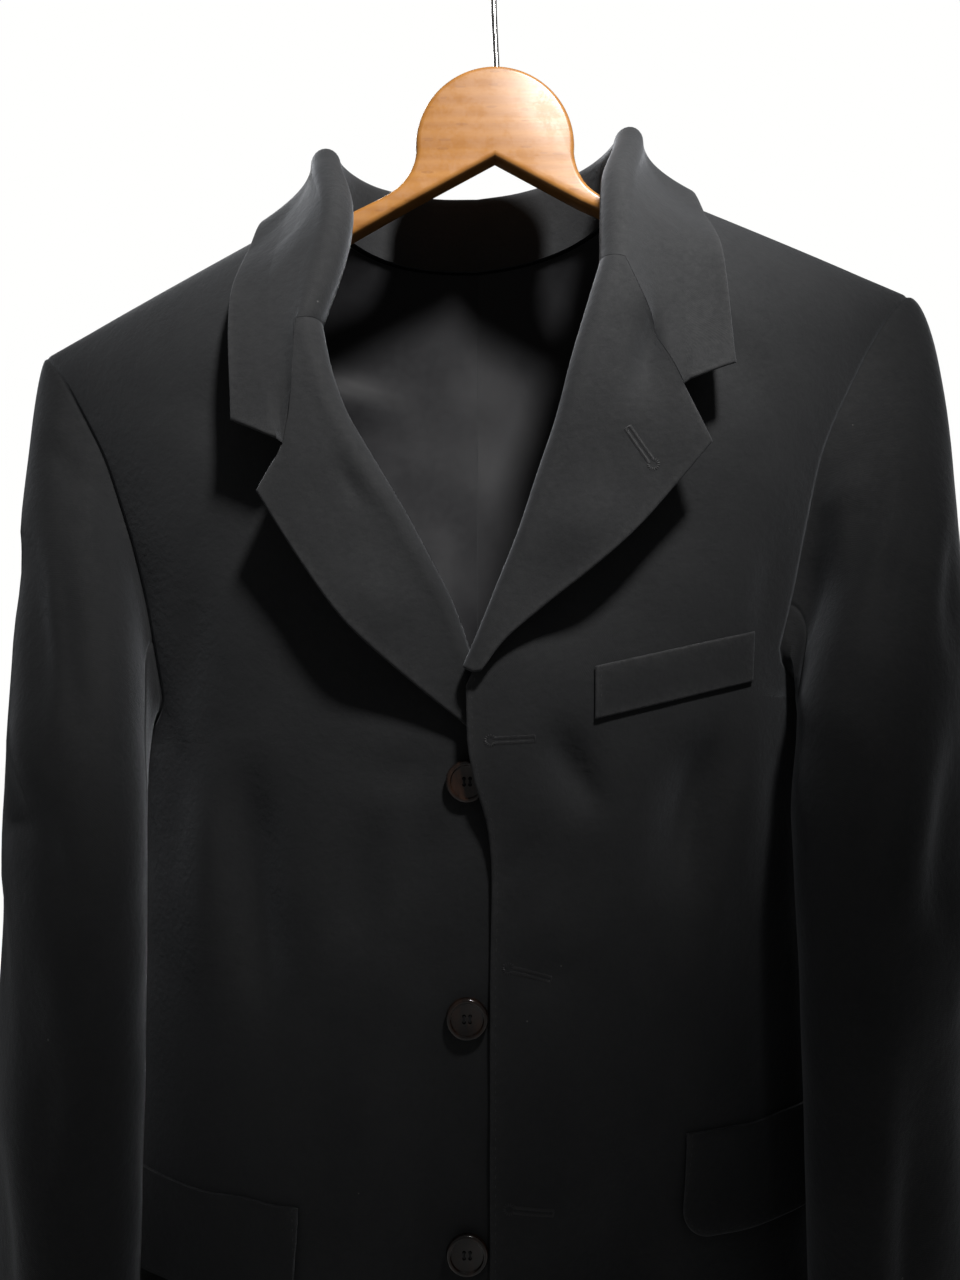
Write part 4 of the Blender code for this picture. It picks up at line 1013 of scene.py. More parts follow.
class Way(Enum):
    """A side of a panel's grid: its axis, and whether it is that axis's last line."""

    FIRST_ROW = (0, False)
    LAST_ROW = (0, True)
    FIRST_COLUMN = (1, False)
    LAST_COLUMN = (1, True)


@dataclass
class Panel:
    """A panel of cloth: a grid of outer points that becomes a thin closed wall.

    Its name is that of the solid that it stands for. The borders are its first row, last row, first
    column and last column, with extra lines of points close to them. Its inner side is wool up to
    facing from the first column, and lining from there on.
    """

    name: str
    points: Array
    normals: Array
    borders: tuple[Border, Border, Border, Border]
    cut: Cut
    rests_on: tuple[str, ...] = ("hanger_board",)
    facing: float = 0.0
    close_lines: tuple[float, ...] = (0.0003, 0.0009, 0.0017, 0.0028)
    line_room: float = 1.15
    edge_radius: float = 0.0015
    edge_share: float = 0.12
    groove: float = 0.0006
    groove_width: float = 0.0013
    # how far in from a free edge the painted edge highlight, partly edge wear, reaches
    wear_and_highlight_reach: float = 0.0025
    wall: float = WALL
    outer: Array = field(init=False)
    inner: Array = field(init=False)
    wear_and_highlight: Array = field(init=False)

    def __post_init__(self) -> None:
        """Adds the lines near the borders and works out both sides of the wall."""
        shape = self.points.shape[:2]
        weights = np.zeros((*shape, 8))
        for i, border in enumerate(self.borders):
            for j, weight in enumerate((border.open, border.seam)):
                along = np.asarray(weight, float)
                weights[..., 2 * i + j] = along[:, None] if along.ndim and i > 1 else along
        stack = np.concatenate([self.points, self.normals, weights], 2)
        stack = self.crowded(self.crowded(stack, 0), 1)
        self.points, self.normals = stack[..., :3], unit(stack[..., 3:6])
        weights = np.clip(stack[..., 6:], 0, 1)
        thickness = np.ones(self.points.shape[:2])
        sunk, self.wear_and_highlight = np.zeros_like(thickness), np.zeros_like(thickness)
        for i, way in enumerate(Way):
            away = self.distances(way)
            into = np.clip(1 - away / self.edge_radius, 0, 1)
            rounding = np.maximum(np.sqrt(1 - into**2), self.edge_share)
            thickness *= 1 - weights[..., 2 * i] * (1 - rounding)
            sunk += weights[..., 2 * i + 1] * self.groove * np.exp(-((away / self.groove_width) ** 2))
            # painted edge highlight, partly edge wear: a share that is 1 at a free edge and fades inwards,
            # where the wool is painted lighter
            self.wear_and_highlight = np.maximum(self.wear_and_highlight, weights[..., 2 * i] * np.exp(-away / self.wear_and_highlight_reach))
        middle = self.points - self.normals * self.wall / 2
        half = self.normals * (self.wall / 2 * thickness)[..., None]
        self.outer = middle + half - self.normals * np.minimum(sunk, 2 * self.groove)[..., None]
        self.inner = middle - half

    def crowded(self, stack: Array, axis: int) -> Array:
        """A stack of grids with extra lines close to both borders along an axis."""
        stack = np.moveaxis(stack, axis, 0)
        near, far = self.lines_between(stack[:3]), self.lines_between(stack[:-4:-1])[::-1]
        stack = np.concatenate([stack[:1], near, stack[1:-1], far, stack[-1:]])
        return np.moveaxis(stack, 0, axis)

    def lines_between(self, three: Array) -> Array:
        """Works out lines between the first two of three, on a smooth curve through them.

        Args:
            three: The three lines of points, normals and weights.

        Returns:
            The lines between, one for each of the close lines.
        """
        first, second, third = three
        cell = np.linalg.norm((second - first)[..., :3], axis=-1, keepdims=True)
        slope = 2 * (second - first) - (third - first) / 2
        reach = np.maximum(cell, self.close_lines[-1] * self.line_room)
        shares = [line / reach for line in self.close_lines]
        return np.stack([first + slope * share + (second - first - slope) * share**2 for share in shares])

    def distances(self, way: Way) -> Array:
        """Distance of every point from one border, along the cloth."""
        axis, last = way.value
        points = np.moveaxis(self.points, axis, 0)
        points = points[::-1] if last else points
        steps = np.linalg.norm(np.diff(points, axis=0), axis=-1)
        run = np.concatenate([np.zeros((1, points.shape[1])), np.cumsum(steps, axis=0)])
        return np.moveaxis(run[::-1] if last else run, 0, axis)

    def inset_line(self, way: Way, inset: float) -> Grid:
        """A line on the outer side, at an even distance in from a border.

        Args:
            way: The border.
            inset: The distance from it.

        Returns:
            The line's points, and the normals there.
        """
        axis, last = way.value
        outer, normals = (np.moveaxis(item, axis, 0) for item in (self.outer, self.normals))
        run = np.moveaxis(self.distances(way), axis, 0)
        if last:
            outer, normals, run = outer[::-1], normals[::-1], run[::-1]
        columns = range(outer.shape[1])
        points = np.array([read_along(run[:, i], outer[:, i], inset) for i in columns])
        return points, unit(np.array([read_along(run[:, i], normals[:, i], inset) for i in columns]))

    def build(self, wool: Material, lining: Material) -> Object:
        """Args:
            wool: The outer side's material.
            lining: The inner side's material.

        Returns:
            The finished object.
        """
        rows, columns = self.outer.shape[:2]
        across, down = self.distances(Way.FIRST_COLUMN), self.distances(Way.FIRST_ROW)
        mesh = bmesh.new()
        bmesh.ops.create_grid(mesh, x_segments=columns - 1, y_segments=rows - 1, size=0.5)
        whole, share = mesh.verts.layers.int, mesh.verts.layers.float
        place, inside, edge = whole.new("place"), whole.new("inside"), share.new("edge")
        cloth = mesh.loops.layers.uv.new("cloth")
        outer, inner, wear_and_highlight = self.outer.reshape(-1, 3), self.inner.reshape(-1, 3), self.wear_and_highlight.ravel()
        for index, vertex in enumerate(mesh.verts):
            vertex[place], vertex[edge], vertex.co = index, wear_and_highlight[index], outer[index]
        for item in bmesh.ops.extrude_face_region(mesh, geom=mesh.faces[:])["geom"]:
            if isinstance(item, bmesh.types.BMVert):
                item[inside] = 1
                item.co = inner[item[place]]
        bmesh.ops.recalc_face_normals(mesh, faces=mesh.faces)
        spots = np.stack([across.ravel(), down.ravel()], 1)
        for face in mesh.faces:
            for loop in face.loops:
                loop[cloth].uv = spots[loop.vert[place]]
            if all(vertex[inside] for vertex in face.verts):
                face.material_index = int(spots[face.verts[0][place], 0] > self.facing)
        for name in ("place", "inside"):
            whole.remove(whole[name])
        made = add_piece(f"{self.name}_cloth", mesh, (wool, lining), "wool_black", self.name)
        return made


def in_scene(name: str, data: bpy.types.ID) -> Object:
    """A new object of this data, in the scene."""
    made = bpy.data.objects.new(name, data)
    bpy.context.scene.collection.objects.link(made)
    return made


def mesh_data(name: str, mesh: bmesh.types.BMesh) -> bpy.types.Mesh:
    """The data of a bmesh, which is freed."""
    data = bpy.data.meshes.new(name)
    mesh.to_mesh(data)
    mesh.free()
    return data


def add_piece(
    name: str, mesh: bmesh.types.BMesh, finishes: Sequence[Material], slot: str, *nodes: str,
    sharp: float = 60.0,
) -> Object:
    """Makes a smooth-shaded object of a bmesh, which rides on the part.

    Args:
        name: The object's name.
        mesh: Its shape, which is freed.
        finishes: Its materials.
        slot: A material slot's name, handed on to settle().
        nodes: The solids that it stands for.
        sharp: Angle between faces from which an edge is sharp.

    Returns:
        The object.
    """
    data = mesh_data(name, mesh)
    data.shade_smooth()
    data.set_sharp_from_angle(angle=math.radians(sharp))
    for finish in finishes:
        data.materials.append(finish)
    return settle(in_scene(name, data), slot, *nodes)


def settle(made: Object, slot: str, *nodes: str) -> Object:
    """Lets an object ride on the part.

    Args:
        made: The object.
        slot: Not used.
        nodes: The solids that it stands for.

    Returns:
        The object.
    """
    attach(made, "root")
    if nodes:
        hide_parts(*nodes)
    LOG.info("%s: %s", made.name, "stands for " + ", ".join(nodes) if nodes else "added")
    return made


def placed(origin: Array, along: Array, normal: Array, size: Triple) -> Matrix:
    """The matrix that lays a unit shape on a surface.

    Args:
        origin: Where its middle goes.
        along: The way of its X.
        normal: The surface's normal, the way of its Z.
        size: Its length, breadth and height.

    Returns:
        The matrix.
    """
    upwards = unit(normal)
    forwards = unit(along - upwards * np.dot(along, upwards))
    aside = np.cross(upwards, forwards)
    turned = np.eye(4)
    for i, (way, length) in enumerate(zip((forwards, aside, upwards), size)):
        turned[:3, i] = way * length
    turned[:3, 3] = origin
    return Matrix(turned.tolist())


def add_stitches(name: str, places: Sequence[Matrix], thread: Material) -> None:
    """Makes a piece of thread: a coarse ball of diameter 1, drawn out at each place.

    Args:
        name: The piece's name.
        places: The matrix of each stitch.
        thread: The thread's material.
    """
    ball, mesh = bmesh.new(), bmesh.new()
    bmesh.ops.create_uvsphere(ball, u_segments=8, v_segments=5, radius=0.5)
    bmesh.ops.rotate(ball, verts=ball.verts, cent=(0, 0, 0), matrix=Matrix.Rotation(math.pi / 2, 3, "Y"))
    bead = mesh_data("thread_bead", ball)
    for place in places:
        copy = bead.copy()
        copy.transform(place)
        mesh.from_mesh(copy)
        bpy.data.meshes.remove(copy)
    bpy.data.meshes.remove(bead)
    add_piece(name, mesh, (thread,), "wool_black")


@dataclass
class Patterns:
    """The grids of one half's panels, each worked out from the ones before it."""

    half: Half
    front: Grid = field(init=False)
    back: Grid = field(init=False)
    lapel: Grid = field(init=False)
    sleeve: Grid = field(init=False)

    def __post_init__(self) -> None:
        """Works out the grids."""
        self.front, self.back = self.half.front_grid(), self.half.back_grid()
        self.lapel = self.half.lapel_grid(*self.front)
        self.sleeve = self.half.sleeve_grid((self.front, self.back))

    def neckline(self) -> Grid:
        """The neckline from the gorge to the centre back, and the normals along it."""
        rows = slice(FINE.skirt_rows + FINE.roll_rows, -1)
        on_neck = self.back[0][-1, :, 0] < BODY.neck_reach + WALL / 4
        points, normals = (
            np.concatenate([front[rows, 0], back[-1, on_neck][::-1]])
            for front, back in zip(self.front, self.back)
        )
        return points, normals


@dataclass(frozen=True)
class Body:
    """The front and the back of one half, with their cuts and the breadth of the wool facing."""

    front_cut: Cut = Cut(0.280, 0.730, 0.158)
    back_cut: Cut = Cut(0.240, 0.760, 0.165)
    facing: float = 0.080

    def panels(self, work: Patterns) -> tuple[Panel, Panel]:
        """Lays out both panels.

        Args:
            work: The half's grids.

        Returns:
            The front and the back.
        """
        half = work.half
        below_break = np.arange(len(work.front[0])) <= FINE.skirt_rows
        front = Panel(
            f"front_{half.name}", *half.hang_panel(*work.front),
            (FREE, SEWN, Border(open=below_break), SEWN),
            self.front_cut, facing=self.facing,
        )
        on_shoulder = work.back[0][-1, :, 0] >= BODY.neck_reach
        back = Panel(
            f"back_{half.name}", *half.hang_panel(*work.back),
            (FREE, Border(seam=on_shoulder), SEWN, SEWN), self.back_cut,
        )
        return front, back


@dataclass(frozen=True)
class Lapel:
    """One turned-back lapel, with its cut."""

    cut: Cut = Cut(0.090, 0.205, 0.0115)

    def panel(self, work: Patterns) -> Panel:
        """Lays out the lapel on its half's grid.

        Args:
            work: The half's grids.

        Returns:
            Its panel.
        """
        joined = np.arange(work.lapel[0].shape[1]) < FINE.gorge_columns
        gorge = Border(open=~joined, seam=joined)
        return Panel(
            f"lapel_{work.half.name}", *work.half.hang_panel(*work.lapel),
            (FREE, gorge, PLAIN, FREE), self.cut, (f"front_{work.half.name}",), facing=1.0,
        )


@dataclass(frozen=True)
class Sleeve:
    """A two-piece sleeve, with the cuts of its top and of its under panel."""

    top_cut: Cut = Cut(0.205, 0.660, 0.104)
    under_cut: Cut = Cut(0.135, 0.500, 0.062)

    def panels(self, work: Patterns) -> tuple[Panel, Panel]:
        """Lays out both panels of a half's sleeve.

        Args:
            work: The half's grids.

        Returns:
            The top and the under panel.
        """
        half, count = work.half, work.sleeve[0].shape[1]
        front, back = round(FINE.front_seam_share * count), round(FINE.back_seam_share * count)
        top = [k % count for k in range(back, count + front + 1)]
        under = list(range(front, back + 1))
        made = []
        for part, columns, cut in (("top", top, self.top_cut), ("under", under, self.under_cut)):
            points, normals = (item[:, columns] for item in work.sleeve)
            made.append(Panel(
                f"sleeve_{part}_{half.name}", *half.hang_panel(points, normals),
                (SEWN, FREE, SEWN, SEWN), cut, (f"back_{half.name}",),
            ))
        return made[0], made[1]


@dataclass(frozen=True)
class Collar:
    """The collar: a stand, a fold and a fall, from one gorge round to the other.

    The table's rows are share of the way from the gorge to the centre back, middle of the fold and
    outer edge (reach, depth and height each), the fold's radius, and the turn from the side towards
    the back of the way that it faces. Its end has the lapel's shape, which fades over end_fade into
    the table's. The bends there and the normals fade several times faster.
    """

    table: Table = (
        (0.000, 0.000, 0.000, 0.000, 0.000, 0.000, 0.000, 0.0078, -80.0),
        (0.245, 0.0690, -0.052, -0.1920, 0.1165, -0.066, -0.2360, 0.0070, -48.0),
        (0.400, 0.0765, -0.027, -0.1620, 0.1140, -0.040, -0.2050, 0.0060, -20.0),
        (0.547, 0.0800, -0.003, -0.1460, 0.1110, -0.004, -0.1765, 0.0052, 0.0),
        (0.638, 0.0740, 0.018, -0.1460, 0.0990, 0.027, -0.1815, 0.0048, 30.0),
        (0.760, 0.0570, 0.037, -0.1480, 0.0710, 0.049, -0.1925, 0.0045, 55.0),
        (0.920, 0.0200, 0.052, -0.1505, 0.0240, 0.0642, -0.1980, 0.0045, 82.0),
        (1.000, 0.0000, 0.054, -0.1510, 0.0000, 0.066, -0.1990, 0.0045, 90.0),
    )
    gather: float = 1.25
    end_fade: float = 0.17
    fade_bow: float = 1.5
    crisp_fade: int = 5
    facing_fade: int = 4
    stand_gap: float = 0.0008
    inward_way: Triple = (-1.0, 0.0, 0.6)
    least_level: float = 0.5
    knee: float = 0.3
    softening: int = 24
    cut: Cut = Cut(0.520, 0.110, 0.047)

    def grid(self, work: Patterns) -> Grid:
        """One half of the collar.

        Args:
            work: That half's grids.

        Returns:
            Its points and normals, rows from the gorge to the centre back.
        """
        half, (line, facing) = work.half, work.neckline()
        run = lengths_along(line)
        shares = even(FINE.collar_half) ** self.gather
        seam = read_along(run / run[-1], line, shares)
        facing = unit(read_along(run / run[-1], facing, shares))
        end = half.collar_end(work.lapel[0])
        table = np.array(self.table)
        table[0, 1:4] = (end[FINE.stand_steps] + end[FINE.stand_steps + FINE.roll_steps]) / 2
        table[0, 4:7] = end[-1]
        read = curve_through(table, shares)
        fold, edge, radius, turn = read[:, :3], read[:, 3:6], read[:, 6:7], np.radians(read[:, 7:8])
        path = unit(np.gradient(fold, axis=0))
        out = np.concatenate([np.cos(turn), np.sin(turn), np.zeros_like(turn)], 1)
        out = unit(out - path * np.sum(out * path, 1, keepdims=True))
        up = np.cross(out, path)
        inwards = unit(np.cross(unit(np.gradient(seam, axis=0)), facing))
        inwards *= np.sign(np.sum(inwards * self.inward_way, 1, keepdims=True))
        rise = np.clip(np.sum(up * facing, 1, keepdims=True), 0, 1)
        level = np.maximum(np.sqrt(1 - rise**2), self.least_level)
        foot = seam + inwards * (self.stand_gap + WALL * rise) - facing * WALL * level
        climb = even(FINE.stand_steps)[:, None]
        turns = np.radians(np.linspace(0, 180, FINE.roll_steps + 1))[1:, None]
        rows = []
        for i in range(len(shares)):
            side = out[i] * radius[i]
            stand = foot[i] + (fold[i] - side - foot[i]) * climb
            roll = fold[i] - side * np.cos(turns) + up[i] * radius[i] * np.sin(turns)
            fall = self.fall(half, fold[i] + side, edge[i], up[i])
            rows.append(np.concatenate([stand, roll, fall[1:]]))
        points = np.array(rows)
        fade = (np.clip(1 - shares / self.end_fade, 0, 1) ** self.fade_bow)[:, None, None]
        offset = end - points[0]
        soft = softened(offset, self.softening)
        points = points + fade * (soft + fade**self.crisp_fade * (offset - soft))
        normals = grid_normals(points, -1)
        joined = slice(FINE.stand_steps, FINE.stand_steps + FINE.gorge_columns)
        wanted = normals[0].copy()
        wanted[: FINE.stand_steps] = work.lapel[1][-1, 0]
        wanted[joined] = work.lapel[1][-1, : joined.stop - joined.start]
        normals = normals + fade**self.facing_fade * (wanted - normals[0])
        normals[-1, :, 0] = 0
        return points, unit(normals)

    def fall(self, half: Half, start: Array, end: Array, up: Array) -> Array:
        """One row of the collar's fall, from the end of its fold to its outer edge."""
        knee = start - up * self.knee * np.linalg.norm(end - start)
        return bent_way(start, knee, end, half.breadth_shares())

    def panel(self, left: Patterns, right: Patterns) -> Panel:
        """Lays out the whole collar.

        Args:
            left: Grids of the left half.
            right: Grids of the right half.

        Returns:
            Its panel, rows from the left gorge round to the right one.
        """
        sides = [work.half.hang_panel(*self.grid(work)) for work in (left, right)]
        points, normals = (np.concatenate([sides[0][i], sides[1][i][-2::-1]]) for i in range(2))
        sewn = np.arange(points.shape[1]) < FINE.stand_steps + FINE.gorge_columns
        end = Border(open=~sewn, seam=sewn)
        return Panel(
            "collar", points, normals, (end, end, PLAIN, FREE), self.cut,
            ("back_left", "back_right"), facing=1.0,
        )


@dataclass(frozen=True)
class ChestWelt:
    """The welt of the breast pocket, which starts at a distance round from the centre line.

    The height is its near lower corner's, and the rise how far its other end is higher.
    """

    start: float = 0.0555
    length: float = 0.084
    height: float = -0.4525
    rise: float = 0.017
    breadth: float = 0.0245
    thick: float = 0.0020
    columns: int = 48
    rows: int = 14
    cut: Cut = Cut(0.086, 0.026, 0.0021)

    def panel(self, half: Half) -> Panel:
        """Lays out the welt.

        Args:
            half: The half whose front it is on.

        Returns:
            Its panel.
        """
        across, up = np.meshgrid(even(self.columns), even(self.rows))
        heights = self.height + self.rise * across + self.breadth * up
        points = half.around(self.start + self.length * across, heights)
        normals = grid_normals(points, 1)
        points = points + normals * (REST_GAP + self.thick)
        return Panel(
            "chest_welt", *half.hang_panel(points, normals, self.thick), (FREE, FREE, FREE, FREE),
            self.cut, ("front_left",), facing=1.0, edge_radius=0.0010, wall=self.thick,
        )


@dataclass(frozen=True)
class HipFlap:
    """A hip flap with a round front corner, laid on a front.

    It starts at a distance round from the centre line, and its lower edge stands off by lift.
    """

    half: Half
    start: float
    top: float
    length: float = 0.098
    breadth: float = 0.0490
    corner: float = 0.014
    roundness: float = 0.999
    lift: float = 0.0016
    columns: int = 52
    rows: int = 26
    gather: float = 1.4
    cut: Cut = Cut(0.100, 0.051, 0.0047)

    def panel(self) -> Panel:
        """Lays out the flap.

        Returns:
            Its panel.
        """
        across = even(self.columns) ** self.gather
        distance = across * self.length
        inside = np.clip(self.corner - distance, 0, self.corner)
        drop = np.sqrt(self.corner**2 - inside**2) * self.roundness
        bottom = self.top - self.breadth + self.corner - drop
        up = even(self.rows)[:, None]
        heights = bottom + (self.top - bottom) * up
        points = self.half.around(np.broadcast_to(self.start + distance, heights.shape), heights)
        normals = grid_normals(points, 1)
        points = points + normals * (self.lift * (1 - up)[..., None] + REST_GAP + WALL)
        name = self.half.name
        return Panel(
            f"flap_{name}", *self.half.hang_panel(points, normals), (FREE, SEWN, FREE, FREE),
            self.cut, (f"front_{name}",), facing=1.0,
        )


class Struck:
    """The front of a finished piece, found by looking at it from the front."""

    def __init__(self, made: Object) -> None:
        """Makes the piece's tree of faces.

        Args:
            made: The piece.
        """
        mesh = bmesh.new()
        mesh.from_mesh(made.data)
        self.tree = BVHTree.FromBMesh(mesh)
        mesh.free()

    def at(self, x: float, z: float) -> Grid:
        """The point of the piece that shows at an X and a Z, and the normal there."""
        spot, normal, _, _ = self.tree.ray_cast(Vector((x, -1, z)), Vector((0, 1, 0)))
        if spot is None:
            raise ValueError(f"nothing at {x:.4f}, {z:.4f}")
        return np.array(spot), np.array(normal)


@dataclass(frozen=True)
class Buttonhole:
    """A keyhole worked in thread, as it shows from the front.

    Its start and end are X and Z of the middle of its eyelet and of its bar, a stitch that is so many
    times longer, broader and higher. eyelet_turns are the first turn, end and step of the stitches
    round the eyelet, and slit_from is how many of its radii from its middle the slit begins.
    """

    start: Pair
    end: Pair
    bite: float = 0.0019
    pitch: float = 0.00056
    thread: float = 0.0005
    slit: float = 0.0005
    slit_from: float = 1.6
    eyelet: float = 0.0013
    eyelet_turns: Triple = (35.0, 326.0, 24.2)
    bar: Triple = (2.1, 1.6, 1.4)

    def places(self, cloth: Struck) -> list[Matrix]:
        """Lays its stitches on a piece of cloth.

        Args:
            cloth: The front of that piece.

        Returns:
            The matrix of each stitch.
        """
        start, end = np.array(self.start), np.array(self.end)
        length = float(np.hypot(*(end - start)))
        run = (end - start) / length
        aside = np.array([-run[1], run[0]])
        wrap = np.array([self.bite, self.thread, self.thread])
        spots = [(end, aside, wrap * self.bar)]
        for step in np.arange(self.eyelet * self.slit_from, length, self.pitch):
            for side in (-1, 1):
                spots.append((start + run * step + aside * side * (self.slit + self.bite) / 2, aside, wrap))
        for turn in np.radians(np.arange(*self.eyelet_turns)):
            out = run * math.cos(turn) + aside * math.sin(turn)
            spots.append((start + out * (self.eyelet + self.bite / 2), out, wrap))
        laid = []
        for spot, way, size in spots:
            place, normal = cloth.at(*spot)
            laid.append(placed(place, np.array([way[0], 0, way[1]]), normal, size))
        return laid


@dataclass(frozen=True)
class Sewing:
    """Everything that is sewn on top of the cloth, with the pick stitching's measures."""

    inset: float = 0.0026
    pitch: float = 0.0044
    on_lapel: Pair = (0.03, 0.99)
    stitch: Triple = (0.0015, 0.00036, 0.00022)
    front_holes: tuple[Buttonhole, ...] = (
        Buttonhole((-0.0033, -0.4498), (0.0172, -0.4492)),
        Buttonhole((0.0050, -0.5562), (0.0250, -0.5625)),
        Buttonhole((0.0056, -0.6680), (0.0262, -0.6706)),
    )
    lapel_hole: Buttonhole = Buttonhole((0.0700, -0.3250), (0.0585, -0.3080))

    def along(self, panel: Panel, way: Way, first: float = 0.0, last: float = 1.0) -> list[Matrix]:
        """Places of a line of pick stitches.

        Args:
            panel: The panel that they are on.
            way: The border that they follow.
            first, last: Shares of the border's length between which they lie.

        Returns:
            One place for each stitch.
        """
        points, normals = panel.inset_line(way, self.inset)
        run = lengths_along(points)
        wanted = np.arange(run[-1] * first + self.pitch / 2, run[-1] * last, self.pitch)
        spots, facing = read_along(run, points, wanted), read_along(run, normals, wanted)
        ways = unit(np.gradient(spots, axis=0))
        return [placed(*item, self.stitch) for item in zip(spots, ways, facing)]

    def build(self, panels: dict[str, Panel], cloths: dict[str, Object], thread: Material) -> None:
        """Sews the edges and the buttonholes.

        Args:
            panels: The panels by name.
            cloths: Their finished pieces by name.
            thread: The thread's material.
        """
        for side in Side:
            name = side.name.lower()
            lapel, front, flap = (panels[f"{part}_{name}"] for part in ("lapel", "front", "flap"))
            edges = self.along(lapel, Way.LAST_COLUMN, *self.on_lapel)
            edges += self.along(front, Way.FIRST_COLUMN, 0.0, self.below_break(front))
            edges += self.along(flap, Way.FIRST_ROW) + self.along(flap, Way.FIRST_COLUMN)
            add_stitches(f"pick_stitching_{name}", edges, thread)
        collar, welt = panels["collar"], panels["chest_welt"]
        edges = self.along(collar, Way.LAST_COLUMN)
        edges += self.along(welt, Way.FIRST_COLUMN) + self.along(welt, Way.LAST_COLUMN)
        add_stitches("pick_stitching_collar", edges, thread)
        front, lapel = Struck(cloths["front_left"]), Struck(cloths["lapel_left"])
        holes = [place for hole in self.front_holes for place in hole.places(front)]
        add_stitches("buttonholes_front", holes, thread)
        add_stitches("buttonhole_lapel", self.lapel_hole.places(lapel), thread)

    def below_break(self, front: Panel) -> float:
        """Measures how much of a front's edge is below the break.

        Args:
            front: The front.

        Returns:
            That share of the edge, from the hem.
        """
        points, _ = front.inset_line(Way.FIRST_COLUMN, self.inset)
        run = lengths_along(points)
        row = len(front.close_lines) + int(np.sum(front.borders[2].open)) - 1
        return float(run[row] / run[-1])


BUTTON_HEIGHTS = (-0.4575, -0.5676, -0.6780)


@dataclass(frozen=True)
class Button:
    """A four-hole button with a raised rim, sewn to the lower front.

    Its edge is in rows of shares of radius and thickness, from the back round to the front, and its
    hollow in rows of distance inside the rim and share of the dish's depth. The shank is how much
    farther off the cloth it is than what lies on it. A strand of its thread has a breadth and a
    height, is strand_ends hole radii longer than the holes' spacing, and lies at strand_level of
    the dish's depth.
    """

    number: int
    height: float
    reach: float = 0.0045
    radius: float = 0.0100
    thick: float = 0.0042
    rim: float = 0.0026
    dish: float = 0.0011
    edge: Table = (
        (0.80, 0.0), (0.94, 0.16), (1.0, 0.45), (0.99, 0.70), (0.95, 0.90), (0.89, 0.99),
        (0.84, 1.0), (0.79, 0.96),
    )
    hollow: Table = ((0.0, 0.85), (0.0007, 1.0))
    hollow_middle: float = 1.2
    steps: int = 56
    hole: float = 0.00085
    hole_spread: float = 0.0014
    shank: float = 0.0002
    strand: Pair = (0.00042, 0.0008)
    strand_pitch: float = 0.00034
    strand_ends: float = 1.2
    strand_level: float = 1.1

    @property
    def seat(self) -> Vector:
        """Where the middle of its back lies."""
        x, y, z = RIGHT.hang(RIGHT.front.at(self.reach, self.height))
        return Vector((x, y - REST_GAP - self.shank, z))

    def build(self, horn: Material, thread: Material) -> None:
        """Turns the button, bores it and sews it on.

        Args:
            horn: The button's material.
            thread: The thread's material.
        """
        thick, dish, inner = self.thick, self.dish, self.radius - self.rim
        rim = [(self.radius * out, thick * rise) for out, rise in self.edge]
        hollow = [(inner - into, thick - dish * share) for into, share in self.hollow]
        middle = (0.0, thick - dish * self.hollow_middle)
        mesh = bmesh.new()
        line = [mesh.verts.new((out, -rise, 0)) for out, rise in [(0.0, 0.0), *rim, *hollow, middle]]
        edges = [mesh.edges.new(pair) for pair in zip(line, line[1:])]
        bmesh.ops.spin(
            mesh, geom=line + edges, cent=(0, 0, 0), axis=(0, 1, 0), angle=math.tau,
            steps=self.steps, use_merge=True,
        )
        bmesh.ops.remove_doubles(mesh, verts=mesh.verts, dist=1e-6)
        bmesh.ops.recalc_face_normals(mesh, faces=mesh.faces)
        mesh = self.bored(mesh)
        bmesh.ops.translate(mesh, verts=mesh.verts, vec=self.seat)
        name = f"button_{self.number}"
        add_piece(f"{name}_turned", mesh, (horn,), "button_horn", name, sharp=38.0)
        level = np.array(self.seat) - (0, thick - dish * self.strand_level, 0)
        up, out = np.array([0, 0, 1.0]), np.array([0, -1.0, 0])
        size = (self.hole_spread * 2 + self.hole * self.strand_ends, *self.strand)
        add_stitches(f"{name}_thread", [
            placed(level + (column * self.hole_spread + strand * self.strand_pitch, 0, 0), up, out, size)
            for column in (-1, 1) for strand in (-1, 0, 1)
        ], thread)

    def bored(self, mesh: bmesh.types.BMesh) -> bmesh.types.BMesh:
        """Bores the four holes.

        Args:
            mesh: The turned button's shape, which is freed.

        Returns:
            The bored shape.
        """
        drills = bmesh.new()
        for x in (-1, 1):
            for z in (-1, 1):
                place = Matrix.Translation((x * self.hole_spread, -self.thick / 2, z * self.hole_spread))
                bmesh.ops.create_cone(
                    drills, cap_ends=True, segments=16, radius1=self.hole, radius2=self.hole,
                    depth=self.thick * 2, matrix=place @ Matrix.Rotation(math.pi / 2, 4, "X"),
                )
        blank = in_scene("blank", mesh_data("blank", mesh))
        drill = in_scene("drills", mesh_data("drills", drills))
        cut = blank.modifiers.new("bore", "BOOLEAN")
        cut.object, cut.operation, cut.solver = drill, "DIFFERENCE", "EXACT"
        graph = bpy.context.evaluated_depsgraph_get()
        data = bpy.data.meshes.new_from_object(blank.evaluated_get(graph))
        made = bmesh.new()
        made.from_mesh(data)
        for spent in (data, blank.data, drill.data):
            bpy.data.meshes.remove(spent)
        return made


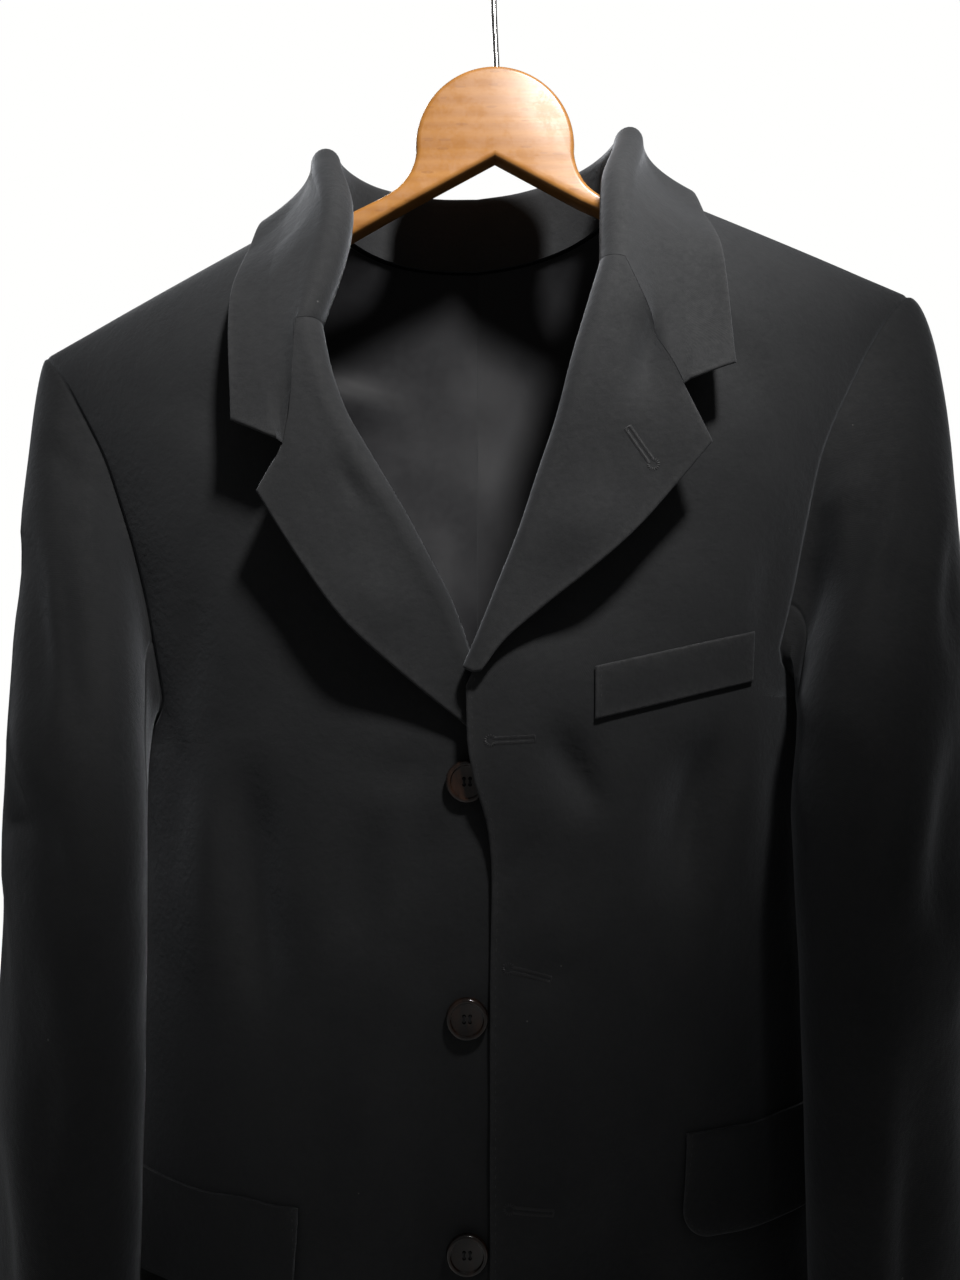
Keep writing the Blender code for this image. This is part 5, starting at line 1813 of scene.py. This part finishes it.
@dataclass(frozen=True)
class Hanger:
    """The wooden hanger and its wire hook.

    An arm is straight from arm_inner to arm_end, and the gaps are how far it is under the cloth at
    these two. The sides of the notch under the head fall by notch_fall for each metre outwards, over
    a share of the way to the arm. The wire's stem is X and Z from its foot, and the bend over it is
    plain X and Z. The crook turns from one angle to another.
    """

    thick: float = 0.013
    ease: float = 0.0030
    eased_from: float = 60.0
    head_radius: float = 0.0423
    head_height: float = -0.1408
    head_turn: float = 95.0
    arm_inner: float = 0.060
    arm_end: float = 0.202
    tip_breadth: float = 0.020
    notch_height: float = -0.1472
    notch_fall: float = 0.54
    notch_share: float = 0.75
    hollow_start: float = 0.002
    cover: float = 1.15
    gaps: Pair = (0.0085, 0.0012)
    wire: float = 0.0016
    crook: float = 0.0205
    stem: Table = ((0.0010, 0.0), (-0.0005, 0.030))
    bend: Table = ((-0.0008, -0.0520), (0.0008, -0.0450), (0.0085, -0.0375))
    crook_turns: Pair = (-38.0, 208.0)
    head_points: int = 61
    hollow_steps: int = 12
    tip_points: int = 19
    bend_steps: int = 24
    crook_points: int = 70

    def arm_top(self, half: Half, aside: float) -> float:
        """Height of an arm's upper edge: just under the shoulder's cloth.

        Args:
            half: The half that the arm is in.
            aside: Distance from the hanger's middle.

        Returns:
            The height there.
        """
        reach = aside - half.sign * CENTRE
        ridge = BODY.ridge(reach)
        share = np.sin(half.front.angle(reach, ridge)) ** (2 / BODY.front_rounds[1])
        depth = np.abs(BODY.at(ridge)[..., 1] * share)
        sag = BODY.round_drop * (1 - np.sqrt(1 - (self.thick / 2 / depth) ** 2))
        return float(ridge + half.level(reach) - sag - WALL * self.cover)

    def head_point(self, turn: Array | float) -> Array:
        """X and Z on the head's arc at a turn from its top, in radians."""
        arc = np.stack([np.sin(turn), np.cos(turn)], -1)
        return self.head_radius * arc + (0, self.head_height)

    def arm(self, half: Half) -> list[Pair]:
        """Works out the outline of one arm.

        Args:
            half: The half that the arm is in.

        Returns:
            X and Z of its points, from the head round its tip to its under edge.
        """
        inner = self.arm_top(half, self.arm_inner) - self.gaps[0]
        outer = self.arm_top(half, self.arm_end) - self.gaps[1]
        slope = (outer - inner) / (self.arm_end - self.arm_inner)
        steep, head_end = math.atan(slope), self.head_point(math.radians(self.head_turn))
        out = head_end[0] + self.hollow_start
        bend = np.array([out, inner - slope * (self.arm_inner - out)])
        shares = even(self.hollow_steps)[1:, None]
        start = np.array([self.arm_inner, inner])
        hollow = bent_way(head_end, bend, start, shares)
        radius = self.tip_breadth / 2
        centre = np.array([self.arm_end, outer]) + radius * np.array([math.sin(steep), -math.cos(steep)])
        turns = steep + np.radians(np.linspace(90, -90, self.tip_points))
        tip = centre + radius * np.stack([np.cos(turns), np.sin(turns)], 1)
        near = self.arm_inner * self.notch_share
        low = (near, self.notch_height - near * self.notch_fall)
        return [(half.sign * x, z) for x, z in [*hollow, *tip, low]]

    def build_board(self, wood: Material) -> None:
        """Saws out the board, rounds its edges and dresses it.

        Args:
            wood: The wood's material.
        """
        head = self.head_point(np.radians(np.linspace(-self.head_turn, self.head_turn, self.head_points)))
        outline = [*head, *self.arm(LEFT), (0.0, self.notch_height), *self.arm(RIGHT)[::-1]]
        mesh = bmesh.new()
        face = mesh.faces.new([mesh.verts.new((x, -self.thick / 2, z)) for x, z in outline])
        made = bmesh.ops.extrude_face_region(mesh, geom=[face])["geom"]
        moved = [item for item in made if isinstance(item, bmesh.types.BMVert)]
        bmesh.ops.translate(mesh, verts=moved, vec=(0, self.thick, 0))
        bmesh.ops.recalc_face_normals(mesh, faces=mesh.faces)
        rims = [edge for edge in mesh.edges if edge.calc_face_angle(0) > math.radians(self.eased_from)]
        bmesh.ops.bevel(
            mesh, geom=rims, offset=self.ease, affect="EDGES", segments=5, profile=0.5, material=-1,
        )
        add_piece("hanger_board_eased", mesh, (wood,), "hanger_wood", "hanger_board", sharp=50.0)

    def build_hook(self, steel: Material) -> None:
        """Bends the wire: a straight stem from the board, a bend aside, and the open crook.

        Args:
            steel: The wire's material.
        """
        centre, foot = self.wire - self.crook, self.head_height + self.head_radius + REST_GAP
        turns = np.radians(np.linspace(*self.crook_turns, self.crook_points))
        crook = np.stack([self.crook * np.cos(turns), centre + self.crook * np.sin(turns)], 1)
        stem = np.array(self.stem) + (0, foot)
        bend = smooth_line([*self.bend, crook[0]], even(self.bend_steps)[:-1])
        points = np.concatenate([stem, bend, crook])
        data = bpy.data.curves.new("hanger_hook_wire", "CURVE")
        data.dimensions, data.bevel_depth, data.bevel_resolution = "3D", self.wire, 8
        data.use_fill_caps = True
        spline = data.splines.new("POLY")
        spline.points.add(len(points) - 1)
        for point, (x, z) in zip(spline.points, points):
            point.co = (x, 0, z, 1)
        spline.use_smooth = True
        data.materials.append(steel)
        settle(in_scene("hanger_hook_wire", data), "hook_steel", "hanger_hook")


Socket = bpy.types.NodeSocket
Setting = Socket | float | int | tuple[float, ...]
Colour = Triple
Inputs = dict[str | int, Setting]


class Bench:
    """Lays nodes in one tree and links them."""

    def __init__(self, tree: bpy.types.NodeTree) -> None:
        """Takes the tree to lay nodes in."""
        self.tree = tree

    def fill(self, node: bpy.types.Node, inputs: Inputs) -> bpy.types.Node:
        """Links sockets to a node's inputs, or sets the inputs to values.

        Args:
            node: The node.
            inputs: Sockets or values, by the input's name or number.

        Returns:
            The node.
        """
        for name, value in inputs.items():
            if isinstance(value, Socket):
                self.tree.links.new(value, node.inputs[name])
            else:
                node.inputs[name].default_value = value
        return node

    def put(self, kind: str, inputs: Inputs | None = None, **settings: object) -> bpy.types.Node:
        """Adds a node.

        Args:
            kind: Its type.
            inputs: Sockets or values for its inputs.
            settings: Its own properties.

        Returns:
            The node.
        """
        node = self.tree.nodes.new(kind)
        for name, value in settings.items():
            setattr(node, name, value)
        return self.fill(node, inputs or {})

    def work_out(self, operation: str, *values: Setting) -> Socket:
        """The result of one mathematical operation."""
        return self.put("ShaderNodeMath", dict(enumerate(values)), operation=operation).outputs[0]

    def times(self, first: Setting, last: Setting) -> Socket:
        """The product of two values."""
        return self.work_out("MULTIPLY", first, last)

    def weighed(self, first: Setting, share: float, last: Setting, rest: float) -> Socket:
        """The sum of two values, each times its weight."""
        return self.work_out("MULTIPLY_ADD", first, share, self.times(last, rest))

    def spread(self, value: Setting, low: float, high: float, first: float, last: float) -> Socket:
        """A value that runs from low to high, spread smoothly from first to last."""
        inputs = {"Value": value, "From Min": low, "From Max": high, "To Min": first, "To Max": last}
        return self.put("ShaderNodeMapRange", inputs, interpolation_type="SMOOTHSTEP").outputs[0]

    def blend(self, share: Setting, first: Setting, last: Setting) -> Socket:
        """A colour between two, each of which is a socket or a plain colour."""
        first, last = ((*end, 1.0) if isinstance(end, tuple) else end for end in (first, last))
        return self.put("ShaderNodeMix", {0: share, 6: first, 7: last}, data_type="RGBA").outputs[2]

    def noise(self, vector: Setting, scale: Setting, detail: float, rough: float) -> Socket:
        """Noise from 0 to 1."""
        inputs = {"Vector": vector, "Scale": scale, "Detail": detail, "Roughness": rough}
        return self.put("ShaderNodeTexNoise", inputs).outputs[0]

    def bump(self, height: Setting, distance: float, strength: float, **under: Setting) -> Socket:
        """A normal with relief, on top of another Normal where one is given."""
        inputs = {"Height": height, "Distance": distance, "Strength": strength, **under}
        return self.put("ShaderNodeBump", inputs).outputs[0]


class Effect(Enum):
    """The effects that several finishes share, each a node group."""

    TWILL = "twill"
    FIBRES = "fibres"
    MOTTLE = "mottle"
    SPECKS = "specks"


class Effects:
    """Builds each shared effect once, as a group that reads a vector and gives one value."""

    def __init__(self) -> None:
        """Builds the groups."""
        makers = (self.twill, self.fibres, self.mottle, self.specks)
        self.groups = {effect: maker() for effect, maker in zip(Effect, makers)}

    def group(self, effect: Effect, **numbers: float) -> tuple[Bench, list[Socket]]:
        """Starts a group.

        Args:
            effect: The effect.
            numbers: Its numbers after the vector, with the values that they start with.

        Returns:
            A bench in the group, and the sockets of the vector and the numbers.
        """
        tree = bpy.data.node_groups.new(effect.value, "ShaderNodeTree")
        tree.interface.new_socket(name="Vector", in_out="INPUT", socket_type="NodeSocketVector")
        for name, value in numbers.items():
            made = tree.interface.new_socket(name=name, in_out="INPUT", socket_type="NodeSocketFloat")
            made.default_value = value
        tree.interface.new_socket(name="Amount", in_out="OUTPUT", socket_type="NodeSocketFloat")
        bench = Bench(tree)
        return bench, bench.put("NodeGroupInput").outputs[: len(numbers) + 1]

    def finished(self, bench: Bench, amount: Socket) -> bpy.types.NodeTree:
        """Lets a group give an amount, and returns the group."""
        bench.put("NodeGroupOutput", {0: amount})
        return bench.tree

    def twill(self) -> bpy.types.NodeTree:
        """Slanting ribs crossed by the threads, in metres of cloth."""
        bench, (vector, pitch) = self.group(Effect.TWILL, Pitch=0.0007)
        apart = bench.put("ShaderNodeSeparateXYZ", {0: vector})
        turn = bench.work_out("DIVIDE", math.tau, pitch)
        across, along = (bench.times(apart.outputs[i], turn) for i in range(2))
        rib = bench.work_out("SINE", bench.work_out("ADD", across, along))
        threads = bench.times(*(bench.work_out("SINE", bench.times(way, 2.0)) for way in (across, along)))
        ribbed = bench.work_out("MULTIPLY_ADD", rib, 0.32, 0.5)
        return self.finished(bench, bench.work_out("MULTIPLY_ADD", threads, 0.18, ribbed))

    def fibres(self) -> bpy.types.NodeTree:
        """The fine fuzz of loose fibres."""
        bench, (vector, scale) = self.group(Effect.FIBRES, Scale=1400.0)
        fine = bench.noise(vector, scale, 4.0, 0.65)
        coarse = bench.noise(vector, bench.times(scale, 0.21), 3.0, 0.6)
        return self.finished(bench, bench.weighed(coarse, 0.45, fine, 0.55))

    def mottle(self) -> bpy.types.NodeTree:
        """Soft uneven patches, drawn out over two sizes."""
        bench, (vector, scale) = self.group(Effect.MOTTLE, Scale=30.0)
        large = bench.noise(vector, scale, 3.0, 0.55)
        small = bench.noise(vector, bench.times(scale, 5.3), 3.0, 0.6)
        mixed = bench.weighed(small, 0.35, large, 0.65)
        return self.finished(bench, bench.spread(mixed, 0.32, 0.68, 0.0, 1.0))

    def specks(self) -> bpy.types.NodeTree:
        """A few small specks, far apart and of uneven size."""
        bench, (vector, scale, size) = self.group(Effect.SPECKS, Scale=70.0, Size=0.02)
        cells = bench.put("ShaderNodeTexVoronoi", {"Vector": vector, "Scale": scale}).outputs
        chance = bench.put("ShaderNodeSeparateColor", {0: cells["Color"]}).outputs
        kept = bench.work_out("GREATER_THAN", chance[0], 0.82)
        uneven = bench.times(size, bench.work_out("ADD", chance[1], 0.4))
        inside = bench.work_out("LESS_THAN", cells["Distance"], uneven)
        return self.finished(bench, bench.times(kept, inside))


class FinishBench(Bench):
    """A bench on a material's tree, with the piece's own coordinates and the shared effects."""

    def __init__(self, tree: bpy.types.NodeTree, effects: Effects) -> None:
        """Takes the tree and the effects."""
        super().__init__(tree)
        self.effects = effects
        self.place = self.put("ShaderNodeTexCoord").outputs["Object"]

    def cloth(self) -> Socket:
        """The place on the cloth, in metres along its threads."""
        return self.put("ShaderNodeUVMap", uv_map="cloth").outputs[0]

    def drawn(self, *scale: float) -> Socket:
        """The place on the piece, drawn out along its axes."""
        return self.put("ShaderNodeMapping", {"Vector": self.place, "Scale": scale}).outputs[0]

    def effect(self, effect: Effect, vector: Setting, **numbers: Setting) -> Socket:
        """What a shared effect gives at a vector."""
        inputs = {"Vector": vector, **numbers}
        return self.put("ShaderNodeGroup", inputs, node_tree=self.effects.groups[effect]).outputs[0]


@dataclass(frozen=True)
class Finish(ABC):
    """A finish, which each kind gives its own inputs of the shader."""

    name: str

    @abstractmethod
    def inputs(self, bench: FinishBench) -> Inputs:
        """Works out what the shader is given.

        Args:
            bench: The bench to lay its nodes on.

        Returns:
            Sockets and values, by the shader's input.
        """

    def make(self, effects: Effects) -> Material:
        """Builds the material.

        Args:
            effects: The shared effects.

        Returns:
            The material.
        """
        made = bpy.data.materials.new(self.name)
        made.use_nodes = True
        bench = FinishBench(made.node_tree, effects)
        bench.fill(made.node_tree.nodes["Principled BSDF"], self.inputs(bench))
        return made


@dataclass(frozen=True)
class WoolFinish(Finish):
    """Matt black worsted with a little nap, lighter along its free edges as painted highlight and wear, and a
    few specks of lint.
    """

    name: str = "black_wool"
    deep: Colour = (0.0135, 0.0140, 0.0152)
    light: Colour = (0.0225, 0.0230, 0.0242)
    # the colour along free edges: painted edge highlight, partly edge wear
    worn_and_highlit_edge: Colour = (0.0420, 0.0420, 0.0435)
    lint: Colour = (0.1500, 0.1480, 0.1420)
    pitch: float = 0.00078
    patch_scale: float = 26.0
    lint_scale: float = 62.0
    nap_relief: float = 0.00016
    soft_relief: float = 0.0006

    def inputs(self, bench: FinishBench) -> Inputs:
        """Its colours, roughness and relief."""
        twill = bench.effect(Effect.TWILL, bench.cloth(), Pitch=self.pitch)
        fuzz = bench.effect(Effect.FIBRES, bench.place, Scale=1500.0)
        patches = bench.effect(Effect.MOTTLE, bench.place, Scale=self.patch_scale)
        lint = bench.effect(Effect.SPECKS, bench.place, Scale=self.lint_scale, Size=0.030)
        edge = bench.put("ShaderNodeAttribute", attribute_name="edge").outputs["Fac"]
        shade = bench.work_out("MULTIPLY_ADD", fuzz, 0.30, bench.weighed(twill, 0.30, patches, 0.40))
        colour = bench.blend(shade, self.deep, self.light)
        # painted edge highlight, partly edge wear: the wool turns lighter towards its free edges
        colour = bench.blend(bench.times(edge, bench.spread(fuzz, 0.35, 0.65, 0.25, 1.0)), colour, self.worn_and_highlit_edge)
        soft = bench.bump(bench.effect(Effect.MOTTLE, bench.place, Scale=55.0), self.soft_relief, 0.35)
        nap = bench.weighed(fuzz, 0.6, twill, 0.4)
        return {
            "Base Color": bench.blend(bench.times(lint, 0.55), colour, self.lint),
            "Roughness": bench.spread(fuzz, 0.3, 0.7, 0.88, 0.74),
            "Normal": bench.bump(nap, self.nap_relief, 0.7, Normal=soft),
            "Specular IOR Level": 0.22,
            "Sheen Weight": 0.20,
            "Sheen Roughness": 0.45,
            "Sheen Tint": (0.88, 0.92, 1.0, 1.0),
        }


@dataclass(frozen=True)
class LiningFinish(Finish):
    """Smooth black twill with a dull gloss, on the inner side of the cloth."""

    name: str = "black_lining"
    deep: Colour = (0.0090, 0.0090, 0.0105)
    light: Colour = (0.0170, 0.0170, 0.0190)
    pitch: float = 0.00052

    def inputs(self, bench: FinishBench) -> Inputs:
        """Its colours, roughness and relief."""
        twill = bench.effect(Effect.TWILL, bench.cloth(), Pitch=self.pitch)
        patches = bench.effect(Effect.MOTTLE, bench.place, Scale=40.0)
        return {
            "Base Color": bench.blend(bench.times(twill, patches), self.deep, self.light),
            "Roughness": bench.spread(patches, 0.0, 1.0, 0.52, 0.60),
            "Normal": bench.bump(twill, 0.00006, 0.4),
            "Specular IOR Level": 0.3,
        }


@dataclass(frozen=True)
class ThreadFinish(Finish):
    """Twisted black thread, a little shinier than the cloth."""

    name: str = "black_thread"
    deep: Colour = (0.0150, 0.0150, 0.0165)
    light: Colour = (0.0360, 0.0360, 0.0385)

    def inputs(self, bench: FinishBench) -> Inputs:
        """Its colours, roughness and relief."""
        fuzz = bench.effect(Effect.FIBRES, bench.place, Scale=2600.0)
        return {
            "Base Color": bench.blend(fuzz, self.deep, self.light),
            "Roughness": bench.spread(fuzz, 0.3, 0.7, 0.42, 0.60),
            "Normal": bench.bump(fuzz, 0.00012, 0.6),
        }


@dataclass(frozen=True)
class HornFinish(Finish):
    """Polished dark horn, brown where the light gets in, under a hard gloss."""

    name: str = "dark_horn"
    deep: Colour = (0.0050, 0.0033, 0.0028)
    light: Colour = (0.0300, 0.0140, 0.0085)

    def inputs(self, bench: FinishBench) -> Inputs:
        """Its colours, roughness and relief."""
        drawn = bench.drawn(1.0, 1.0, 0.30)
        veins = bench.effect(Effect.MOTTLE, drawn, Scale=150.0)
        scuffs = bench.effect(Effect.FIBRES, drawn, Scale=900.0)
        return {
            "Base Color": bench.blend(bench.work_out("POWER", veins, 1.8), self.deep, self.light),
            "Roughness": bench.spread(scuffs, 0.35, 0.65, 0.12, 0.24),
            "Normal": bench.bump(scuffs, 0.00004, 0.4),
            "Coat Weight": 0.5,
            "Coat Roughness": 0.08,
        }


@dataclass(frozen=True)
class WoodFinish(Finish):
    """Varnished pale beech, its grain along the arms, with short flecks and a few scuffs."""

    name: str = "varnished_beech"
    early: Colour = (0.380, 0.168, 0.038)
    late: Colour = (0.295, 0.120, 0.025)
    fleck: Colour = (0.225, 0.086, 0.020)

    def inputs(self, bench: FinishBench) -> Inputs:
        """Its colours, roughness and relief."""
        drawn, short = bench.drawn(0.10, 1.0, 1.0), bench.drawn(0.22, 1.0, 1.0)
        wave = {"Vector": drawn, "Scale": 42.0, "Distortion": 5.0, "Detail": 3.0, "Detail Scale": 1.4}
        bands = bench.put("ShaderNodeTexWave", wave, bands_direction="Z").outputs[1]
        tone = bench.effect(Effect.MOTTLE, drawn, Scale=60.0)
        flecks = bench.effect(Effect.SPECKS, short, Scale=520.0, Size=0.36)
        scuffs = bench.effect(Effect.MOTTLE, bench.place, Scale=110.0)
        pores = bench.effect(Effect.FIBRES, drawn, Scale=900.0)
        colour = bench.blend(bench.weighed(bands, 0.45, tone, 0.55), self.early, self.late)
        return {
            "Base Color": bench.blend(bench.times(flecks, 0.42), colour, self.fleck),
            "Roughness": bench.spread(scuffs, 0.0, 1.0, 0.32, 0.46),
            "Normal": bench.bump(pores, 0.00008, 0.4),
            "Coat Weight": 0.18,
            "Coat Roughness": 0.20,
        }


@dataclass(frozen=True)
class SteelFinish(Finish):
    """Bright plated wire with fine drawing marks."""

    name: str = "plated_wire"
    bright: Colour = (0.760, 0.755, 0.745)
    dull: Colour = (0.560, 0.555, 0.550)

    def inputs(self, bench: FinishBench) -> Inputs:
        """Its colours, roughness and relief."""
        marks = bench.effect(Effect.FIBRES, bench.place, Scale=1100.0)
        patches = bench.effect(Effect.MOTTLE, bench.place, Scale=120.0)
        return {
            "Base Color": bench.blend(patches, self.bright, self.dull),
            "Roughness": bench.spread(marks, 0.3, 0.7, 0.14, 0.28),
            "Normal": bench.bump(marks, 0.00003, 0.4),
            "Metallic": 1.0,
        }


@dataclass(frozen=True)
class PaleFinish(Finish):
    """The pale floor, which shows as white as the air behind it."""

    name: str = "pale_floor"
    tone: Colour = (0.86, 0.86, 0.85)
    shade: Colour = (0.82, 0.82, 0.81)
    glow: float = 0.90

    def inputs(self, bench: FinishBench) -> Inputs:
        """Its colours, roughness and relief."""
        patches = bench.effect(Effect.MOTTLE, bench.place, Scale=3.0)
        seen = bench.put("ShaderNodeLightPath").outputs["Is Camera Ray"]
        return {
            "Base Color": bench.blend(patches, self.tone, self.shade),
            "Roughness": 0.7,
            "Emission Color": (1.0, 1.0, 0.99, 1.0),
            "Emission Strength": bench.times(seen, self.glow),
        }


@dataclass(frozen=True)
class Lamp:
    """A round soft lamp, with the angle that its shade lets through."""

    name: str
    place: Triple
    aim: Triple
    breadth: float
    power: float
    spread: float = 180.0
    colour: Colour = (1.0, 1.0, 1.0)

    def build(self) -> None:
        """Puts up the lamp."""
        data = bpy.data.lights.new(self.name, "AREA")
        data.shape, data.size, data.energy, data.color = "DISK", self.breadth, self.power, self.colour
        data.spread = math.radians(self.spread)
        made = in_scene(self.name, data)
        made.location = self.place
        made.rotation_euler = (Vector(self.aim) - Vector(self.place)).to_track_quat("-Z", "Y").to_euler()
        made.visible_camera = False


@dataclass(frozen=True)
class Studio:
    """The camera, the lamps, the floor, and how bright the air lights things and how bright it looks."""

    camera: Triple = (-0.008, -0.537, -0.404)
    lens: float = 28.125
    lamps: tuple[Lamp, ...] = (
        Lamp("key_lamp", (0.24, -0.62, 0.46), (0.02, -0.07, -0.165), 0.14, 0.79, 32.0, (1.0, 0.99, 0.97)),
        Lamp("back_lamp", (-0.60, 1.35, 0.45), (0.0, 0.0, -0.45), 1.0, 17.0),
        Lamp("side_lamp", (1.15, 0.95, 0.10), (0.0, 0.0, -0.50), 0.9, 5.5),
    )
    air: Pair = (0.082, 1.0)
    air_colour: tuple[float, float, float, float] = (1.0, 1.0, 0.992, 1.0)
    floor_height: float = -1.150
    floor_reach: float = 6.0

    def build(self, finish: Material) -> None:
        """Sets up the studio.

        Args:
            finish: The floor's material.
        """
        data = bpy.data.cameras.new("camera")
        data.lens, data.sensor_width, data.sensor_fit = self.lens, 36.0, "AUTO"
        data.clip_start, data.clip_end = 0.01, 50.0
        camera = in_scene("camera", data)
        camera.location, camera.rotation_euler = self.camera, (math.pi / 2, 0, 0)
        bpy.context.scene.camera = camera
        bpy.context.scene.view_settings.view_transform = "Standard"
        for lamp in self.lamps:
            lamp.build()
        self.fill_air()
        mesh = bmesh.new()
        bmesh.ops.create_circle(mesh, cap_ends=True, segments=96, radius=self.floor_reach)
        bmesh.ops.translate(mesh, verts=mesh.verts, vec=(0, 0, self.floor_height))
        ground = mesh_data("floor", mesh)
        ground.materials.append(finish)
        in_scene("floor", ground)
        LOG.info("studio: camera, %d lamps, floor", len(self.lamps))

    def fill_air(self) -> None:
        """Lights the air evenly, and shows it white."""
        world = bpy.data.worlds.new("air")
        world.use_nodes = True
        bpy.context.scene.world = world
        bench = Bench(world.node_tree)
        seen = bench.put("ShaderNodeLightPath").outputs["Is Camera Ray"]
        lit, looks = self.air
        strength = bench.work_out("MULTIPLY_ADD", seen, looks - lit, lit)
        bench.fill(world.node_tree.nodes["Background"], {"Strength": strength, "Color": self.air_colour})


def main() -> None:
    """Builds every piece in turn."""
    logging.basicConfig(level=logging.INFO, format="%(name)s: %(message)s")
    effects = Effects()
    kinds = (WoolFinish, LiningFinish, ThreadFinish, HornFinish, WoodFinish, SteelFinish, PaleFinish)
    wool, lining, thread, horn, wood, steel, pale = (kind().make(effects) for kind in kinds)
    Studio().build(pale)
    left, right = Patterns(LEFT), Patterns(RIGHT)
    laid = []
    for work in (left, right):
        laid += [*Body().panels(work), Lapel().panel(work), *Sleeve().panels(work)]
    laid += [Collar().panel(left, right), ChestWelt().panel(LEFT)]
    flaps = HipFlap(LEFT, start=0.100, top=-0.6500), HipFlap(RIGHT, start=0.087, top=-0.6600)
    laid += [flap.panel() for flap in flaps]
    panels = {panel.name: panel for panel in laid}
    cloths = {name: panel.build(wool, lining) for name, panel in panels.items()}
    Sewing().build(panels, cloths, thread)
    for number, height in enumerate(BUTTON_HEIGHTS, 1):
        Button(number, height).build(horn, thread)
    hanger = Hanger()
    hanger.build_board(wood)
    hanger.build_hook(steel)


if __name__ == "__main__":
    main()
